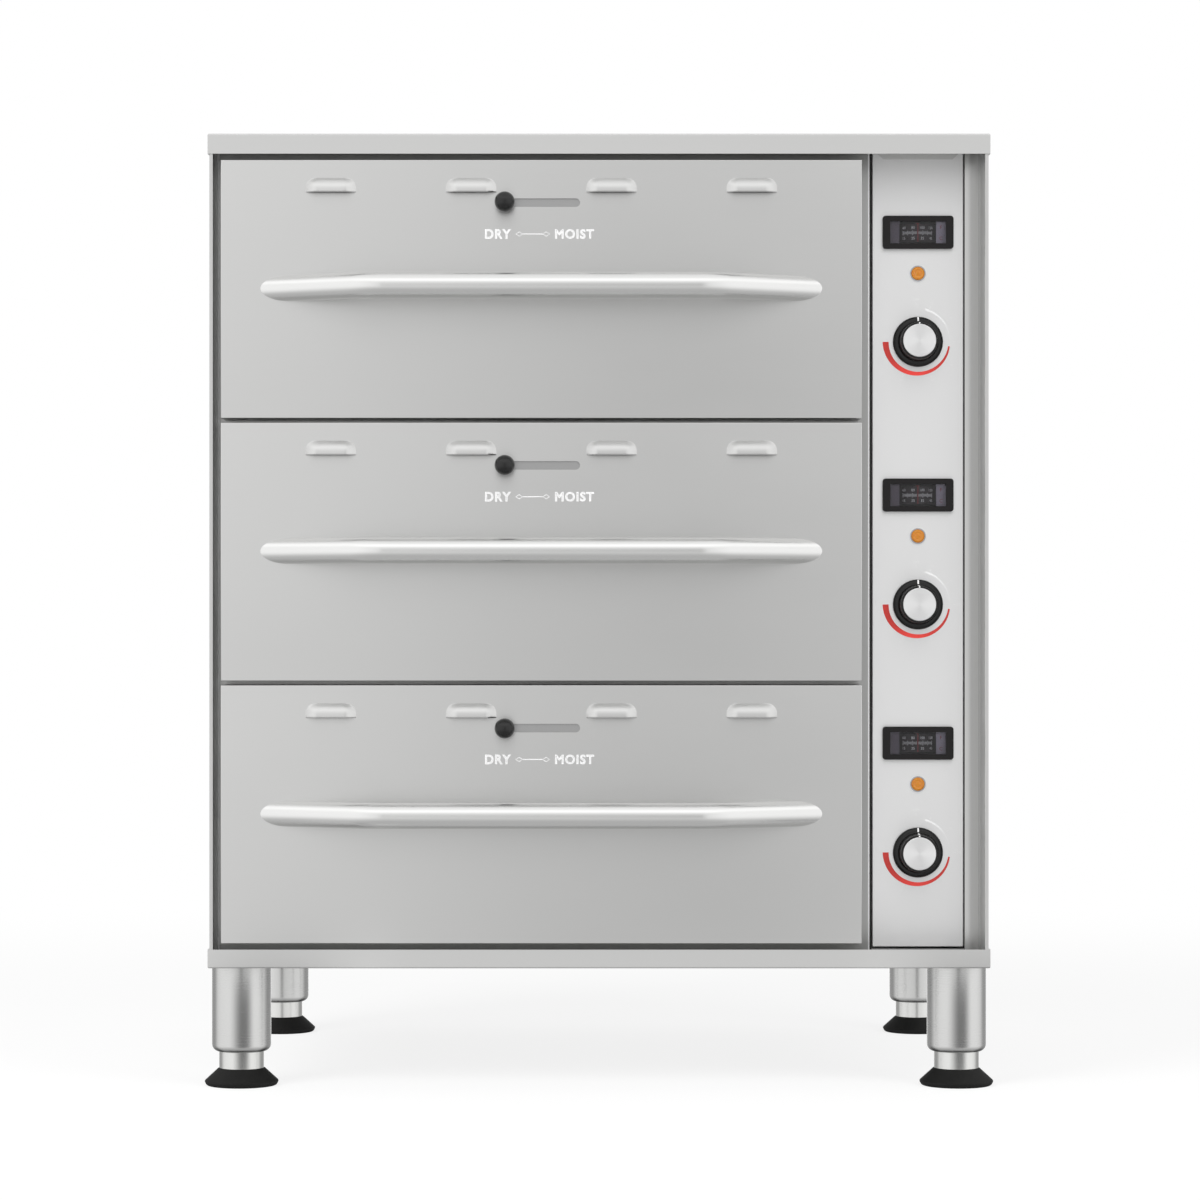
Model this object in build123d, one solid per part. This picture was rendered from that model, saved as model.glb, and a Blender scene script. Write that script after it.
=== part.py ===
from build123d import *
from math import asin, cos, radians, sin, tan
import os

os.makedirs("parts", exist_ok=True)

# A shop warmer with a stack of heated drawers and a control bay on the right, on four adjustable legs.
# Millimetres, +Z up, the front faces -Y. The origin is under the middle of the whole warmer, on the floor.
# Depths are measured back from the front edge of the top cover.

# Body
BODY_WIDTH = 749.0
BODY_DEPTH = 572.0
LEG_HEIGHT = 116.3
TRAY_HEIGHT = 17.9
COVER_HEIGHT = 19.2
COVER_SHEET = 1.5
COVER_EDGE_RADIUS = 1.6
SIDE_SHEET = 1.2
SIDE_HEM_WIDTH = 3.5
SIDE_RETURN_OVERLAP = 10.0
REAR_RETURN = 12.0
BACK_SHEET = 1.2

# Front frame, set back behind the drawer fronts
RECESS = 50.0
FRAME_SHEET = 1.5
FRAME_RETURN = 12.0
BAY_WIDTH = 107.0
POST_SHOWING = 10.9
RIGHT_STILE = 13.7
BAY_SILL = 13.2
BAY_HEADER = 6.5

# Drawer fronts
DRAWER_HEIGHT = 247.0
DRAWER_GAP = 4.4
END_GAP = 5.9
DRAWER_SIDE_GAP = 7.5
FACE_DEPTH = 1.0
DRAWER_THICKNESS = 47.0
DRAWER_SHEET = 1.2
DRAWER_EDGE_RADIUS = 1.5
WINDOW_OVERLAP_SIDE = 8.0
WINDOW_OVERLAP_END = 13.0

# Louvres along the top of each drawer front
LOUVRE_WIDTH = 48.3
LOUVRE_HEIGHT = 13.9
LOUVRE_PROUD = 6.0
LOUVRE_CORNER = 9.0
LOUVRE_EDGE_INSET = 105.35
LOUVRE_COUNT = 4
LOUVRE_BOTTOM_BELOW_TOP = 31.1

# Humidity shutter and its knob
SLOT_LENGTH = 76.9
SLOT_HEIGHT = 8.1
SLOT_BELOW_TOP = 40.9
SLOT_OFFSET = -1.4
SHUTTER_SHEET = 1.0
SHUTTER_TOP_BELOW_TOP = 14.0
SHUTTER_BOTTOM_BELOW_TOP = 52.0
SHUTTER_WINDOW_MARGIN = 1.2
SHUTTER_END_MARGIN = 6.0
SHUTTER_CLEARANCE = 0.3
GUIDE_SHEET = 1.2
GUIDE_LIP = 5.0
BALL_RADIUS = 9.6
BALL_GAP = 1.0
STEM_RADIUS = 3.5
STEM_END_CLEARANCE = 1.5

# Handles
HANDLE_RADIUS = 12.25
HANDLE_BELOW_TOP = 123.0
HANDLE_EDGE_INSET = 38.0
HANDLE_STANDOFF = 38.0
HANDLE_ANGLE = 26.0
HANDLE_BEND_RADIUS = 60.0

# Heated cavities and the insulation round them
CAVITY_SIDE_INSET = 11.8
CAVITY_SHEET = 1.0
CAVITY_FLANGE = 12.0
REAR_INSULATION = 23.3
INSULATION_FLOOR_GAP = 10.0

# Telescopic slides
SLIDE_HEIGHT = 45.0
SLIDE_THICKNESS = 12.7
SLIDE_SHEET = 1.2
SLIDE_CLEARANCE = 0.3
SLIDE_FRONT_SETBACK = 4.0
SLIDE_REAR_GAP = 29.0
SLIDE_ABOVE_DRAWER_BASE = 150.0

# Drawer carriage and food pan
CARRIAGE_SHEET = 1.2
LEDGE_ABOVE_DRAWER_BASE = 178.0
LEDGE_WIDTH = 25.3
PAN_REAR_SETBACK = 65.0
PAN_HEIGHT = 150.0
PAN_STEP = 5.0
PAN_SHOULDER_HEIGHT = 24.0
PAN_CORNER = 32.0
PAN_SHEET = 1.0
PAN_RIM = 12.0
PAN_RIM_SHEET = 1.2
PAN_HOLE_CLEARANCE = 2.5
PAN_SETBACK = 16.0

# Heating elements
HEATER_END_GAP = 35.0
HEATER_WIDTH = 90.0
HEATER_SHEET = 4.0
HEATER_LIFT = 8.0
HEATER_FOOT_LENGTH = 12.0
HEATER_TERMINAL_RADIUS = 3.0
HEATER_TERMINAL_SPACING = 50.0

# Control panel
PANEL_GAP = 2.25
PANEL_SHEET = 1.2
PANEL_BOTTOM_ABOVE_TRAY_FLOOR = 15.4
PANEL_TOP_GAP = 2.0
PANEL_FOOT_OVERLAP = 1.2
RETAINER_SHEET = 1.2
RETAINER_GAP = 0.3
RETAINER_DROP = 17.5
RETAINER_TOP_WIDTH = 79.9
RETAINER_BOTTOM_WIDTH = 67.3
RETAINER_FLANGE = 18.0

# Thermometers
THERMOMETER_ABOVE_DRAWER_BASE = (190.1, 179.1, 182.3)
BEZEL_WIDTH = 68.6
BEZEL_HEIGHT = 32.0
BEZEL_CORNER = 3.0
BEZEL_PROUD = 4.0
BEZEL_LIP = 2.0
VIEW_WIDTH = 54.0
VIEW_HEIGHT = 21.5
GLASS_SHEET = 1.0
GLASS_MARGIN = 1.0
CASE_WALL = 1.5
CASE_HOLE_CLEARANCE = 0.2
DRUM_RADIUS = 23.0
DRUM_HEIGHT = 17.0
DRUM_BACK = 4.0
DRUM_BRACKET_WIDTH = 14.0
DRUM_BRACKET_DEPTH = 6.0
POINTER_GAP = 0.8
POINTER_SHEET = 0.5
POINTER_WIDTH = 1.2
POINTER_ARM_WIDTH = 3.0
POINTER_ARM_LIFT = 0.4
POINTER_PIN_RADIUS = 1.5
POINTER_PIN_LENGTH = 6.0

# Indicator lamps
LAMP_BELOW_THERMOMETER = 39.7
LAMP_RADIUS = 6.5
LAMP_PROUD = 2.6
LAMP_DOME = 1.4
LAMP_LENGTH = 16.0
LAMP_RING_RADIUS = 7.6
LAMP_RING_PROUD = 1.2

# Thermostats and their knobs
KNOB_BELOW_THERMOMETER = 106.0
KNOB_RADIUS = 24.25
KNOB_SKIRT_HEIGHT = 4.0
KNOB_GRIP_RADIUS = 18.7
KNOB_HEIGHT = 21.0
KNOB_GAP = 0.3
KNOB_CAP_RADIUS = 15.9
KNOB_CAP_HEIGHT = 1.4
SPINDLE_RADIUS = 3.0
SPINDLE_LENGTH = 26.0
SPINDLE_PANEL_HOLE_RADIUS = 4.0
RUNNING_CLEARANCE = 0.05
THERMOSTAT_SIZE = 45.0
THERMOSTAT_DEPTH = 32.0
THERMOSTAT_CHAMFER = 6.0

# Legs
LEG_SETBACK = 42.0
LEG_REAR_INSET = 50.0
LEG_INSET = 28.8
LEG_RADIUS = 28.5
LEG_BOTTOM = 33.0
LEG_TOP_PLATE = 3.0
STUD_RADIUS = 4.0
STUD_CLEARANCE = 0.2
NUT_ACROSS_FLATS = 13.0
NUT_HEIGHT = 8.0
SLEEVE_RADIUS = 21.6
SLEEVE_TOP = 75.0
FOOT_HEIGHT = 17.0
FOOT_RADIUS = 36.0
FOOT_RIM_HEIGHT = 6.0
FOOT_BASE_RADIUS = 30.0

# Back of the warmer
VENT_SLOT_WIDTH = 60.0
VENT_SLOT_HEIGHT = 4.0
VENT_SLOT_PITCH = 12.0
VENT_SLOT_COUNT = 7
VENT_SLOT_INSET = 70.0
SCREW_ACROSS_FLATS = 8.0
SCREW_HEAD_HEIGHT = 3.0
SCREW_COUNT = 5
SCREW_END_INSET = 40.0
GLAND_ABOVE_TRAY = 60.0
GLAND_BORE_RADIUS = 5.0
GLAND_BARREL_RADIUS = 8.0
GLAND_ACROSS_FLATS = 22.0
GLAND_HEX_LENGTH = 5.5
GLAND_NOSE_RADIUS = 9.0
GLAND_REACH = 10.0
GLAND_BARREL_INSIDE = 6.0

LEVELS = ("lower", "middle", "upper")

# Heights of the body
TRAY_FLOOR = LEG_HEIGHT + COVER_SHEET
TRAY_TOP = LEG_HEIGHT + TRAY_HEIGHT
DRAWER_PITCH = DRAWER_HEIGHT + DRAWER_GAP
DRAWER_BASES = [TRAY_TOP + END_GAP + DRAWER_PITCH * level for level in range(len(LEVELS))]
COVER_BOTTOM = DRAWER_BASES[-1] + DRAWER_HEIGHT + END_GAP
TOTAL_HEIGHT = COVER_BOTTOM + COVER_HEIGHT
COVER_CEILING = TOTAL_HEIGHT - COVER_SHEET
THERMOMETER_HEIGHTS = [base + above for base, above in zip(DRAWER_BASES, THERMOMETER_ABOVE_DRAWER_BASE)]

# Depths and the place of the front edge, which puts the origin under the middle of the whole warmer
HANDLE_REACH = HANDLE_STANDOFF + HANDLE_RADIUS - FACE_DEPTH
FRONT = (HANDLE_REACH - BODY_DEPTH - GLAND_REACH) / 2
BACK_FACE = BODY_DEPTH - COVER_SHEET
BACK_INNER = BACK_FACE - BACK_SHEET
FRAME_BACK = RECESS + FRAME_RETURN
CAVITY_BACK = BACK_INNER - REAR_INSULATION - CAVITY_SHEET
DRAWER_REAR = FACE_DEPTH + DRAWER_THICKNESS
SKIN_BACK = FACE_DEPTH + DRAWER_SHEET
SLIDE_START = FRAME_BACK + SLIDE_FRONT_SETBACK
SLIDE_LENGTH = CAVITY_BACK - SLIDE_REAR_GAP - SLIDE_START
PAN_LENGTH = SLIDE_START + SLIDE_LENGTH - PAN_REAR_SETBACK - DRAWER_REAR - PAN_SETBACK

# Places across the width
SIDE_OUTER = BODY_WIDTH / 2 - COVER_SHEET
WALL_X = SIDE_OUTER - SIDE_HEM_WIDTH
BAY_LEFT = WALL_X - BAY_WIDTH
BAY_RIGHT = WALL_X - RIGHT_STILE
DRAWER_LEFT = -WALL_X + DRAWER_SIDE_GAP
DRAWER_RIGHT = BAY_LEFT - POST_SHOWING
DRAWER_X = (DRAWER_LEFT + DRAWER_RIGHT) / 2
DRAWER_HALF = (DRAWER_RIGHT - DRAWER_LEFT) / 2
LOUVRE_PITCH = 2 * (DRAWER_HALF - LOUVRE_EDGE_INSET) / (LOUVRE_COUNT - 1)
CAVITY_HALF = DRAWER_HALF - CAVITY_SIDE_INSET
CARRIAGE_HALF = CAVITY_HALF - SLIDE_THICKNESS
PAN_WIDTH = 2 * (CARRIAGE_HALF - LEDGE_WIDTH)
PANEL_LEFT = BAY_LEFT + PANEL_GAP
PANEL_RIGHT = BAY_RIGHT - PANEL_GAP
PANEL_X = (PANEL_LEFT + PANEL_RIGHT) / 2
DIVIDER_RIGHT = BAY_LEFT - FRAME_SHEET
DIVIDER_LEFT = DIVIDER_RIGHT - SIDE_SHEET


def block(x0, x1, depth0, depth1, z0, z1):
    """A box between two corners."""
    centre = ((x0 + x1) / 2, FRONT + (depth0 + depth1) / 2, (z0 + z1) / 2)
    return Pos(*centre) * Box(x1 - x0, depth1 - depth0, z1 - z0)


def rod(x, z, radius, depth0, depth1):
    """A round bar that runs from front to back."""
    return Pos(x, FRONT + (depth0 + depth1) / 2, z) * Rot(90, 0, 0) * Cylinder(radius, depth1 - depth0)


def front_plane(x, depth, z):
    """An upright drawing plane, seen from the front: x to the right, y up, its normal towards the front."""
    return Plane(origin=(x, FRONT + depth, z), x_dir=(1, 0, 0), z_dir=(0, -1, 0))


def turned(profile, x, depth, z):
    """A profile of (radius, distance behind the given depth) turned about the front-to-back axis."""
    level = Plane(origin=(x, FRONT + depth, z), x_dir=(1, 0, 0), z_dir=(0, 0, 1))
    outline = make_face(level * Polyline(*profile, close=True))
    return revolve(outline, Axis((x, FRONT + depth, z), (0, 1, 0)), 360)


def save(name, *solids):
    """One STEP file for each named piece, holding its separate solids."""
    bodies = [body for solid in solids for body in solid.solids()]
    shape = bodies[0] if len(bodies) == 1 else Compound(bodies)
    shape.label = name
    export_step(shape, f"parts/{name}.step")


# Top cover and base tray

def open_tray(z0, z1, open_up):
    """A folded sheet tray as wide and deep as the body, open upwards or downwards."""
    outer = block(-BODY_WIDTH / 2, BODY_WIDTH / 2, 0, BODY_DEPTH, z0, z1)
    closed_side = outer.faces().sort_by(Axis.Z)[0 if open_up else -1]
    outer = fillet(closed_side.edges(), COVER_EDGE_RADIUS)
    floor = z0 + COVER_SHEET if open_up else z0 - 1
    ceiling = z1 + 1 if open_up else z1 - COVER_SHEET
    edge = BODY_WIDTH / 2 - COVER_SHEET
    return outer - block(-edge, edge, COVER_SHEET, BODY_DEPTH - COVER_SHEET, floor, ceiling)


def leg_places():
    """The name, x and depth of each leg."""
    x = BODY_WIDTH / 2 - LEG_INSET
    for row, depth in (("front", LEG_SETBACK), ("rear", BODY_DEPTH - LEG_REAR_INSET)):
        yield f"{row}_left", -x, depth
        yield f"{row}_right", x, depth


def base_tray():
    tray = open_tray(LEG_HEIGHT, TRAY_TOP, True)
    for _, x, depth in leg_places():
        hole = Cylinder(STUD_RADIUS + STUD_CLEARANCE, 3 * COVER_SHEET)
        tray -= Pos(x, FRONT + depth, LEG_HEIGHT) * hole
    return tray


# Side panels, back panel and front frame

def side_panel(side):
    """An outer skin with a front hem that folds back inside and a narrow rear return."""
    inner = SIDE_OUTER - SIDE_HEM_WIDTH
    return_end = RECESS + SIDE_RETURN_OVERLAP
    low, high = TRAY_FLOOR, COVER_CEILING
    front = COVER_SHEET
    panel = block(SIDE_OUTER - SIDE_SHEET, SIDE_OUTER, front, BACK_INNER, low, high)
    panel += block(inner, SIDE_OUTER, front, front + SIDE_SHEET, low, high)
    panel += block(inner, inner + SIDE_SHEET, front, return_end, low, high)
    panel += block(SIDE_OUTER - REAR_RETURN, SIDE_OUTER, BACK_INNER - SIDE_SHEET, BACK_INNER, low, high)
    hem_edges = panel.edges().filter_by(Axis.Z).group_by(Axis.Y)[0]
    panel = fillet(hem_edges, SIDE_SHEET * 0.8)
    return panel if side > 0 else mirror(panel, Plane.YZ)


def gland_place():
    return PANEL_X, TRAY_TOP + GLAND_ABOVE_TRAY


def back_panel():
    """A flat sheet with two groups of cooling slots behind the control bay, and the hole for the cord gland."""
    panel = block(-SIDE_OUTER, SIDE_OUTER, BACK_INNER, BACK_FACE, TRAY_FLOOR, COVER_CEILING)
    reach = (VENT_SLOT_COUNT - 1) * VENT_SLOT_PITCH
    for first in (COVER_BOTTOM - VENT_SLOT_INSET - reach, TRAY_TOP + GLAND_ABOVE_TRAY + VENT_SLOT_INSET):
        for row in range(VENT_SLOT_COUNT):
            low = first + row * VENT_SLOT_PITCH
            left = PANEL_X - VENT_SLOT_WIDTH / 2
            slot = block(left, left + VENT_SLOT_WIDTH, BACK_INNER - 1, BACK_FACE + 1, low, low + VENT_SLOT_HEIGHT)
            panel -= slot
    x, z = gland_place()
    return panel - rod(x, z, GLAND_BARREL_RADIUS + RUNNING_CLEARANCE, BACK_INNER - 1, BACK_FACE + 1)


def drawer_window(base):
    """Left, right, bottom and top of the frame opening behind one drawer front."""
    left = DRAWER_LEFT + WINDOW_OVERLAP_SIDE
    right = DRAWER_RIGHT - WINDOW_OVERLAP_SIDE
    return left, right, base + WINDOW_OVERLAP_END, base + DRAWER_HEIGHT - WINDOW_OVERLAP_END


def front_frame():
    """A pressed face frame: stiles, a middle post and rails, each with folded returns to the rear."""
    windows = [drawer_window(base) for base in DRAWER_BASES]
    windows.append((BAY_LEFT, BAY_RIGHT, TRAY_FLOOR + BAY_SILL, COVER_CEILING - BAY_HEADER))
    plate_back = RECESS + FRAME_SHEET
    frame = block(-WALL_X, WALL_X, RECESS, plate_back, TRAY_FLOOR, COVER_CEILING)
    for left, right, low, high in windows:
        frame += block(left - FRAME_SHEET, right + FRAME_SHEET, RECESS, FRAME_BACK,
                       low - FRAME_SHEET, high + FRAME_SHEET)
    for inner in (-WALL_X, WALL_X - FRAME_SHEET):
        frame += block(inner, inner + FRAME_SHEET, RECESS, FRAME_BACK, TRAY_FLOOR, COVER_CEILING)
    for left, right, low, high in windows:
        frame -= block(left, right, RECESS - 1, FRAME_BACK + 1, low, high)
    return frame


def control_divider():
    """The inner wall between the heated drawers and the control bay."""
    return block(DIVIDER_LEFT, DIVIDER_RIGHT, RECESS + FRAME_SHEET, BACK_INNER, TRAY_FLOOR, COVER_CEILING)


# Heated cavities, insulation and heating elements

def cavity_box(base, spread, back):
    """The cavity's inner space, grown by the given spread on its four sides and by back to the rear."""
    half = CAVITY_HALF + spread
    _, _, low, high = drawer_window(base)
    return block(DRAWER_X - half, DRAWER_X + half, FRAME_BACK, CAVITY_BACK + back, low - spread, high + spread)


def cavity_liner(base):
    """A five-sided box with a flat flange that lies on the frame's returns."""
    reach = CAVITY_SHEET + CAVITY_FLANGE
    half = CAVITY_HALF + reach
    _, _, low, high = drawer_window(base)
    flange = block(DRAWER_X - half, DRAWER_X + half, FRAME_BACK, FRAME_BACK + CAVITY_SHEET, low - reach, high + reach)
    return cavity_box(base, CAVITY_SHEET, CAVITY_SHEET) + flange - cavity_box(base, 0, 0)


def insulation():
    """Slabs at the left, at the right and behind the cavities, and one under, over and between them."""
    left = DRAWER_X - CAVITY_HALF - CAVITY_SHEET
    right = DRAWER_X + CAVITY_HALF + CAVITY_SHEET
    front = FRAME_BACK + CAVITY_SHEET
    rear = CAVITY_BACK + CAVITY_SHEET
    floor = TRAY_FLOOR + INSULATION_FLOOR_GAP
    side_rear = BACK_INNER - SIDE_SHEET
    slabs = [
        block(-SIDE_OUTER + SIDE_SHEET, left, front, side_rear, floor, COVER_CEILING),
        block(right, DIVIDER_LEFT, front, side_rear, floor, COVER_CEILING),
        block(left, right, rear, BACK_INNER, floor, COVER_CEILING),
    ]
    windows = [drawer_window(base) for base in DRAWER_BASES]
    lows = [floor] + [high + CAVITY_SHEET for _, _, _, high in windows]
    highs = [low - CAVITY_SHEET for _, _, low, _ in windows] + [COVER_CEILING]
    for low, high in zip(lows, highs):
        slabs.append(block(left, right, front, rear, low, high))
    return slabs


def heating_element(base):
    """A flat strip element across the cavity floor, on a foot at each end, with two terminals at the right."""
    _, _, floor, _ = drawer_window(base)
    middle = (FRAME_BACK + CAVITY_BACK) / 2
    front, rear = middle - HEATER_WIDTH / 2, middle + HEATER_WIDTH / 2
    wall = DRAWER_X + CAVITY_HALF
    left, right = DRAWER_X - CAVITY_HALF + HEATER_END_GAP, wall - HEATER_END_GAP
    low = floor + HEATER_LIFT
    element = block(left, right, front, rear, low, low + HEATER_SHEET)
    for foot_left in (left, right - HEATER_FOOT_LENGTH):
        element += block(foot_left, foot_left + HEATER_FOOT_LENGTH, front, rear, floor, low)
    for place in (-1, 1):
        depth = middle + place * HEATER_TERMINAL_SPACING / 2
        section = Plane(origin=(right, FRONT + depth, floor + HEATER_LIFT / 2), z_dir=(1, 0, 0))
        terminal = RegularPolygon(HEATER_TERMINAL_RADIUS, 6)
        element += extrude(section * terminal, wall - right)
    return element


# Telescopic slides

def channel(x_open, x_web, height, z, depth0):
    """A channel section, its web at x_web and its two lips reaching towards x_open."""
    inward = 1 if x_open > x_web else -1
    low, high = z - height / 2, z + height / 2
    bar = block(min(x_open, x_web), max(x_open, x_web), depth0, depth0 + SLIDE_LENGTH, low, high)
    hollow_from = x_web + inward * SLIDE_SHEET
    hollow_to = x_open + inward
    low, high = low + SLIDE_SHEET, high - SLIDE_SHEET
    return bar - block(min(hollow_from, hollow_to), max(hollow_from, hollow_to), depth0 - 1,
                       depth0 + SLIDE_LENGTH + 1, low, high)


def slide_member(base, side, member):
    """One of the three nested members: 0 on the cavity wall, 1 in the middle, 2 on the carriage."""
    wall = CAVITY_HALF
    open_edge = CARRIAGE_HALF
    step = SLIDE_SHEET + SLIDE_CLEARANCE
    height = SLIDE_HEIGHT - 2 * step * member
    web = wall - step * member
    z = base + SLIDE_ABOVE_DRAWER_BASE + SLIDE_HEIGHT / 2
    if member == 2:
        web, open_edge = open_edge, wall - step * 2
    if member == 1:
        open_edge = open_edge + step
    return channel(DRAWER_X + side * open_edge, DRAWER_X + side * web, height, z, SLIDE_START)


def slide_pair(base, member):
    return [slide_member(base, side, member) for side in (-1, 1)]


# Drawer front: a folded pan with pressed louvres, a slot for the humidity knob and a guide for its shutter

def louvre_form(width, height, proud, corner, back):
    """A hood seen from its bottom middle: a round back that starts upright, with rounded upper corners."""
    centre = (height**2 - proud**2) / (2 * proud)
    radius = centre + proud
    half_turn = asin(height / radius) / 2
    halfway = (centre - radius * cos(half_turn), radius * sin(half_turn))
    arc = ThreePointArc((-proud, 0), halfway, (0, height))
    side = arc + Polyline((-proud, 0), (back, 0), (back, height), (0, height))
    roof = extrude(Plane.YZ * make_face(side), width / 2, both=True)
    outline = Pos(0, height / 2) * Rectangle(width, height)
    outline = fillet(outline.vertices().group_by(Axis.Y)[-1], corner)
    ends = extrude(Plane.XZ * outline, proud + back + 1, both=True)
    return roof & ends


def louvre_centres():
    first = DRAWER_X - LOUVRE_PITCH * (LOUVRE_COUNT - 1) / 2
    return [first + LOUVRE_PITCH * place for place in range(LOUVRE_COUNT)]


def shutter_guides(top):
    """Two folded strips behind the face that hold the shutter's long edges."""
    left, right = DRAWER_LEFT + DRAWER_SHEET, DRAWER_RIGHT - DRAWER_SHEET
    lip_front = SKIN_BACK + SHUTTER_SHEET + 2 * SHUTTER_CLEARANCE
    lip_back = lip_front + GUIDE_SHEET
    upper_web = top - SHUTTER_TOP_BELOW_TOP + SHUTTER_CLEARANCE
    lower_web = top - SHUTTER_BOTTOM_BELOW_TOP - SHUTTER_CLEARANCE
    guides = block(left, right, SKIN_BACK, lip_back, upper_web, upper_web + GUIDE_SHEET)
    guides += block(left, right, lip_front, lip_back, upper_web - GUIDE_LIP, upper_web + GUIDE_SHEET)
    guides += block(left, right, SKIN_BACK, lip_back, lower_web - GUIDE_SHEET, lower_web)
    guides += block(left, right, lip_front, lip_back, lower_web - GUIDE_SHEET, lower_web + GUIDE_LIP)
    return guides


def drawer_front(base):
    top = base + DRAWER_HEIGHT
    skin = block(DRAWER_LEFT, DRAWER_RIGHT, FACE_DEPTH, DRAWER_REAR, base, top)
    skin = fillet(skin.faces().sort_by(Axis.Y)[0].edges(), DRAWER_EDGE_RADIUS)
    skin -= block(DRAWER_LEFT + DRAWER_SHEET, DRAWER_RIGHT - DRAWER_SHEET, SKIN_BACK, DRAWER_REAR + 1,
                  base + DRAWER_SHEET, top - DRAWER_SHEET)
    hood = louvre_form(LOUVRE_WIDTH, LOUVRE_HEIGHT, LOUVRE_PROUD, LOUVRE_CORNER, DRAWER_SHEET / 2)
    sheet = DRAWER_SHEET
    mouth = louvre_form(LOUVRE_WIDTH - 2 * sheet, LOUVRE_HEIGHT - sheet, LOUVRE_PROUD - sheet,
                        LOUVRE_CORNER - sheet, 2 * sheet)
    places = [Pos(x, FRONT + FACE_DEPTH, top - LOUVRE_BOTTOM_BELOW_TOP) for x in louvre_centres()]
    for place in places:
        skin += place * hood
    for place in places:
        skin -= place * mouth
    slot = front_plane(DRAWER_X + SLOT_OFFSET, FACE_DEPTH - 1, top - SLOT_BELOW_TOP)
    skin -= extrude(slot * SlotOverall(SLOT_LENGTH, SLOT_HEIGHT), -(DRAWER_SHEET + 2))
    return skin + shutter_guides(top)


def humidity_slide(base):
    """The shutter with one window behind each louvre, and the ball knob whose stem comes through the slot."""
    top = base + DRAWER_HEIGHT
    front = SKIN_BACK + SHUTTER_CLEARANCE
    half_windows = LOUVRE_PITCH * (LOUVRE_COUNT - 1) / 2 + LOUVRE_WIDTH / 2 + SHUTTER_END_MARGIN
    travel = SLOT_LENGTH - 2 * (STEM_RADIUS + STEM_END_CLEARANCE)
    left, right = DRAWER_X - half_windows - travel, DRAWER_X + half_windows
    shutter = block(left, right, front, front + SHUTTER_SHEET, top - SHUTTER_BOTTOM_BELOW_TOP,
                    top - SHUTTER_TOP_BELOW_TOP)
    low = top - LOUVRE_BOTTOM_BELOW_TOP
    half = LOUVRE_WIDTH / 2 - SHUTTER_WINDOW_MARGIN
    for x in louvre_centres():
        shutter -= block(x - half, x + half, front - 1, front + SHUTTER_SHEET + 1, low,
                         low + LOUVRE_HEIGHT - SHUTTER_WINDOW_MARGIN)
    x = DRAWER_X + SLOT_OFFSET - travel / 2
    z = top - SLOT_BELOW_TOP
    centre = FACE_DEPTH - BALL_GAP - BALL_RADIUS
    knob = Pos(x, FRONT + centre, z) * Rot(90, 0, 0) * Sphere(BALL_RADIUS)
    knob += rod(x, z, STEM_RADIUS, centre, front)
    return [shutter, knob]


def handle(base):
    """A round bar whose ends slope back to the face and are cut off flush with it."""
    z = base + DRAWER_HEIGHT - HANDLE_BELOW_TOP
    face = FRONT + FACE_DEPTH
    slope = radians(HANDLE_ANGLE)
    half_length = DRAWER_HALF - HANDLE_EDGE_INSET
    foot = half_length - HANDLE_RADIUS / sin(slope)
    shoulder = foot - HANDLE_STANDOFF / tan(slope)
    beyond = 2 * HANDLE_RADIUS
    ends = [(DRAWER_X + side * (foot + beyond), face + beyond * tan(slope), z) for side in (-1, 1)]
    bends = [(DRAWER_X + side * shoulder, face - HANDLE_STANDOFF, z) for side in (-1, 1)]
    path = FilletPolyline(ends[0], bends[0], bends[1], ends[1], radius=HANDLE_BEND_RADIUS)
    section = Plane(origin=path @ 0, z_dir=path % 0) * Circle(HANDLE_RADIUS)
    bar = sweep(section, path)
    reach = half_length + 3 * beyond
    in_front = block(DRAWER_X - reach, DRAWER_X + reach, FACE_DEPTH - 2 * HANDLE_STANDOFF, FACE_DEPTH,
                     z - 2 * HANDLE_RADIUS, z + 2 * HANDLE_RADIUS)
    return bar & in_front


# Carriage behind each drawer front, and the pan that hangs in it

def pan_middle():
    """Depth of the middle of the food pan."""
    return DRAWER_REAR + PAN_SETBACK + PAN_LENGTH / 2


def carriage(base):
    """Back plate, side angles with a ledge round the pan, and a rear rail."""
    inner_left, inner_right = DRAWER_LEFT + DRAWER_SHEET, DRAWER_RIGHT - DRAWER_SHEET
    plate_front = DRAWER_REAR - CARRIAGE_SHEET
    frame = block(inner_left, inner_right, plate_front, DRAWER_REAR, base + DRAWER_SHEET,
                  base + DRAWER_HEIGHT - DRAWER_SHEET)
    half = CARRIAGE_HALF
    rear = SLIDE_START + SLIDE_LENGTH
    low = base + SLIDE_ABOVE_DRAWER_BASE
    ledge = base + LEDGE_ABOVE_DRAWER_BASE
    inside = half - CARRIAGE_SHEET
    frame += block(DRAWER_X - half, DRAWER_X + half, DRAWER_REAR, rear, low, ledge)
    frame -= block(DRAWER_X - inside, DRAWER_X + inside, DRAWER_REAR, rear - CARRIAGE_SHEET, low - 1,
                   ledge - CARRIAGE_SHEET)
    hole_half = PAN_WIDTH / 2 + PAN_HOLE_CLEARANCE
    hole_depth = PAN_LENGTH / 2 + PAN_HOLE_CLEARANCE
    frame -= block(DRAWER_X - hole_half, DRAWER_X + hole_half, pan_middle() - hole_depth,
                   pan_middle() + hole_depth, ledge - 2 * CARRIAGE_SHEET, ledge + 1)
    half_mouth = LOUVRE_WIDTH / 2 - SHUTTER_WINDOW_MARGIN
    mouth_low = base + DRAWER_HEIGHT - LOUVRE_BOTTOM_BELOW_TOP
    for x in louvre_centres():
        frame -= block(x - half_mouth, x + half_mouth, plate_front - 1, DRAWER_REAR + 1, mouth_low,
                       mouth_low + LOUVRE_HEIGHT - SHUTTER_WINDOW_MARGIN)
    return [frame] + slide_pair(base, 2)


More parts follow.
